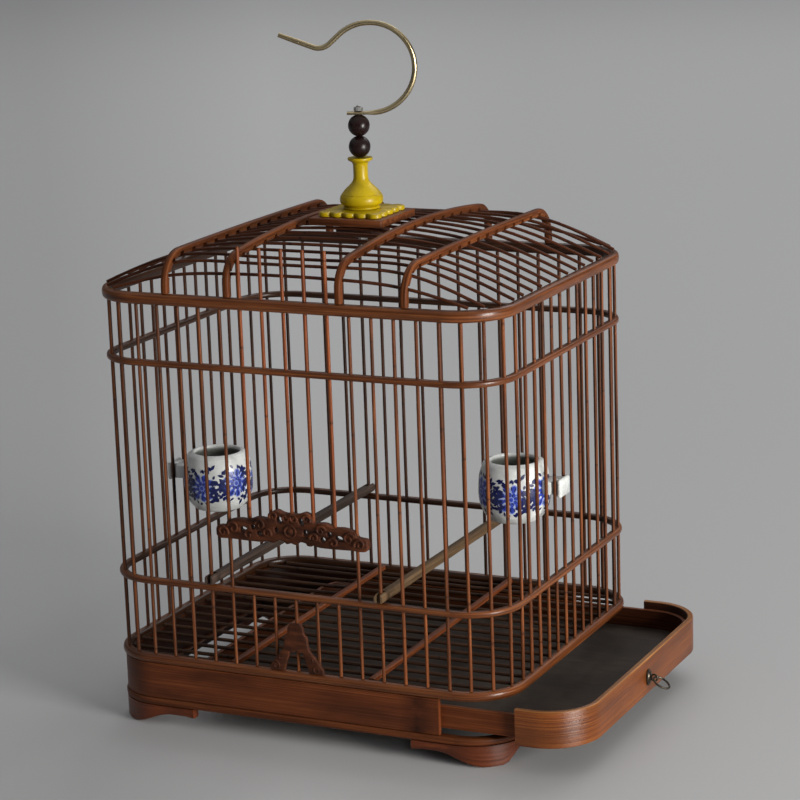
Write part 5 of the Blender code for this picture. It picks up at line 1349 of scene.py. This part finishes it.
def makeCups():
    radius, height, wall = cup["radius"], cup["height"], cup["wall"]
    mouth = radius * cup["rim"]
    inside = [(0.0, wall), (radius * 0.45, wall), (radius * 0.66, wall * 1.5)]
    inside += [(radius * r, height * h) for r, h in cup["hollow"]]
    inside += [(mouth + 0.0009, height + 0.0006), (mouth + 0.0018, height + 0.0005)]
    profile = smoothProfile(inside, 3) + [(r, z) for z, r in reversed(cupCurve)] + [(0.0, 0.0008)]
    barRoom = walls["barRadius"] + seam
    near, far = cup["standOff"] - barRoom, cup["standOff"] + barRoom
    for name, sign in (("cup_left", -1), ("cup_right", 1)):
        low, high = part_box(name)
        centre = (centreX + sign * (plan["halfWidth"] - cup["standOff"]), (low[1] + high[1]) / 2, low[2])

        def fill(bm, uvLayer):
            # the body, then a lug that passes between two wall bars: inner block, neck and end block
            lathe(bm, uvLayer, profile, 56, centre, 1.0)
            z = low[2] + height * cup["lugShare"]
            end = (high[0] - centre[0]) if sign > 0 else (centre[0] - low[0])
            runs = ((radius * 0.93, near), (near - 0.001, far + 0.001), (far, end))
            widths = (cup["blockHalf"], sidePitch / 2 - barRoom, cup["blockHalf"])
            for (x0, x1), halfY, halfZ, soft in zip(runs, widths, cup["lugHeights"], cup["lugEdges"]):
                left, right = sorted((centre[0] + sign * x0, centre[0] + sign * x1))
                softBox(bm, uvLayer, (left, centre[1] - halfY, z - halfZ), (right, centre[1] + halfY, z + halfZ), soft)

        drawPiece(name + "_body", name, "porcelain", [name], fill)
        for shade in cup["petals"]:
            drawPiece(name + "_" + shade, name, shade, (),
                      lambda bm, uv: paintCup(bm, centre, shade, 0.3 if sign > 0 else 0.0), 60)


makeDoor()
makeCarving()
makePerches()
makeCups()
print("door, perches and cups made")

# focal length in pixels of the 800 wide picture, angles in degrees, place from the cage's middle
camera = {"focal": 2652.0, "yaw": 25.73, "pitch": 13.35, "roll": -2.0, "place": (0.85896, -1.72937, 0.6845)}
# greys of the sheet with their places across the picture, which paint light and shade across it, then the sky's
# strength by height
stage = {"floorHalf": 30, "paintedLightGreys": ((0.10, 0.405), (0.36, 0.51), (0.66, 0.45)), "reach": 0.026,
         "horizon": 0.06, "horizonAt": 0.15, "zenith": 0.50, "zenithAt": 0.95}
# power, size, place, target and colour of each lamp
target = (centreX, 0, 0.2)
lamps = {"keyLight": (62, 0.8, (2.12, -0.75, 0.48), target, (1.0, 0.98, 0.95)),
         "edgeLight": (5, 0.4, (1.9, -0.9, 0.16), (0.15, -0.1, 0.05), (1.0, 0.98, 0.95)),
         "fillLight": (0.8, 1.6, (-1.4, -2.0, 1.4), target, (0.93, 0.96, 1.0)),
         "rimLight": (4, 1.2, (0.6, 1.8, 1.7), target, (1, 1, 1)),
         "backdropLight": (84, 4.0, (-0.6, 4.0, 3.8), (-1.0, 4.0, 0), (1, 1, 1))}


def makeStage():
    mesh = bpy.data.meshes.new("floor")
    half = stage["floorHalf"]
    mesh.from_pydata([(-half, -half, 0), (half, -half, 0), (half, half, 0), (-half, half, 0)], [], [(0, 1, 2, 3)])
    floor = bpy.data.objects.new("floor", mesh)
    floor.location.z = cadBounds[0][2]
    scene.collection.objects.link(floor)
    s = Shader("paleFloor", roughness=0.8)
    # a grey sheet with painted light: it grows lighter towards the middle of the picture
    turn = s.node("ShaderNodeMapping")
    turn.inputs["Location"].default_value = (-camera["place"][0] - centreX, -camera["place"][1], 0)
    s.link(s.node("ShaderNodeTexCoord").outputs["Object"], turn.inputs["Vector"])
    sweep = s.node("ShaderNodeTexGradient", gradient_type="RADIAL")
    s.link(turn.outputs["Vector"], sweep.inputs["Vector"])
    middle, reach = 0.5 + (90 + camera["yaw"]) / 360, stage["reach"]
    across = s.spread(sweep.outputs["Fac"], 0.0, 1.0, middle + reach, middle - reach)
    s.link(s.ramp(across, [(at, (grey,) * 3) for at, grey in stage["paintedLightGreys"]]), s.surface.inputs["Base Color"])
    mesh.materials.append(s.material)
    world = bpy.data.worlds.new("studio")
    scene.world = world
    world.use_nodes = True
    # soft light that comes mostly from above
    tree = world.node_tree
    shade = tree.nodes["Background"]
    shade.inputs["Color"].default_value = (0.97, 0.98, 1.0, 1)
    coord, split, sky = (tree.nodes.new("ShaderNode" + kind) for kind in ("TexCoord", "SeparateXYZ", "MapRange"))
    for key, value in (("From Min", "horizonAt"), ("From Max", "zenithAt"),
                       ("To Min", "horizon"), ("To Max", "zenith")):
        sky.inputs[key].default_value = stage[value]
    tree.links.new(coord.outputs["Generated"], split.inputs[0])
    tree.links.new(split.outputs[2], sky.inputs["Value"])
    tree.links.new(sky.outputs["Result"], shade.inputs["Strength"])


def makeLights():
    for name, (power, size, place, aim, colour) in lamps.items():
        light = bpy.data.lights.new(name, "AREA")
        light.energy = power
        light.size = size
        light.color = colour
        lamp = bpy.data.objects.new(name, light)
        scene.collection.objects.link(lamp)
        lamp.location = place
        lamp.rotation_euler = (Vector(aim) - Vector(place)).to_track_quat("-Z", "Y").to_euler()


def makeCamera():
    yaw, pitch, roll = (math.radians(camera[k]) for k in ("yaw", "pitch", "roll"))
    ahead = Vector((-math.sin(yaw) * math.cos(pitch), math.cos(yaw) * math.cos(pitch), -math.sin(pitch)))
    level = Vector((math.cos(yaw), math.sin(yaw), 0))
    above = level.cross(ahead)
    right = math.cos(roll) * level + math.sin(roll) * above
    up = math.cos(roll) * above - math.sin(roll) * level
    data = bpy.data.cameras.new("camera")
    data.sensor_width = 36
    data.lens = camera["focal"] * data.sensor_width / 800
    eye = bpy.data.objects.new("camera", data)
    scene.collection.objects.link(eye)
    x, y, z = camera["place"]
    eye.matrix_world = Matrix(((right.x, up.x, -ahead.x, x + centreX), (right.y, up.y, -ahead.y, y),
                               (right.z, up.z, -ahead.z, z), (0, 0, 0, 1)))
    scene.camera = eye


makeStage()
makeLights()
makeCamera()
scene.view_settings.view_transform = "Standard"
print("stage, lights and camera set")
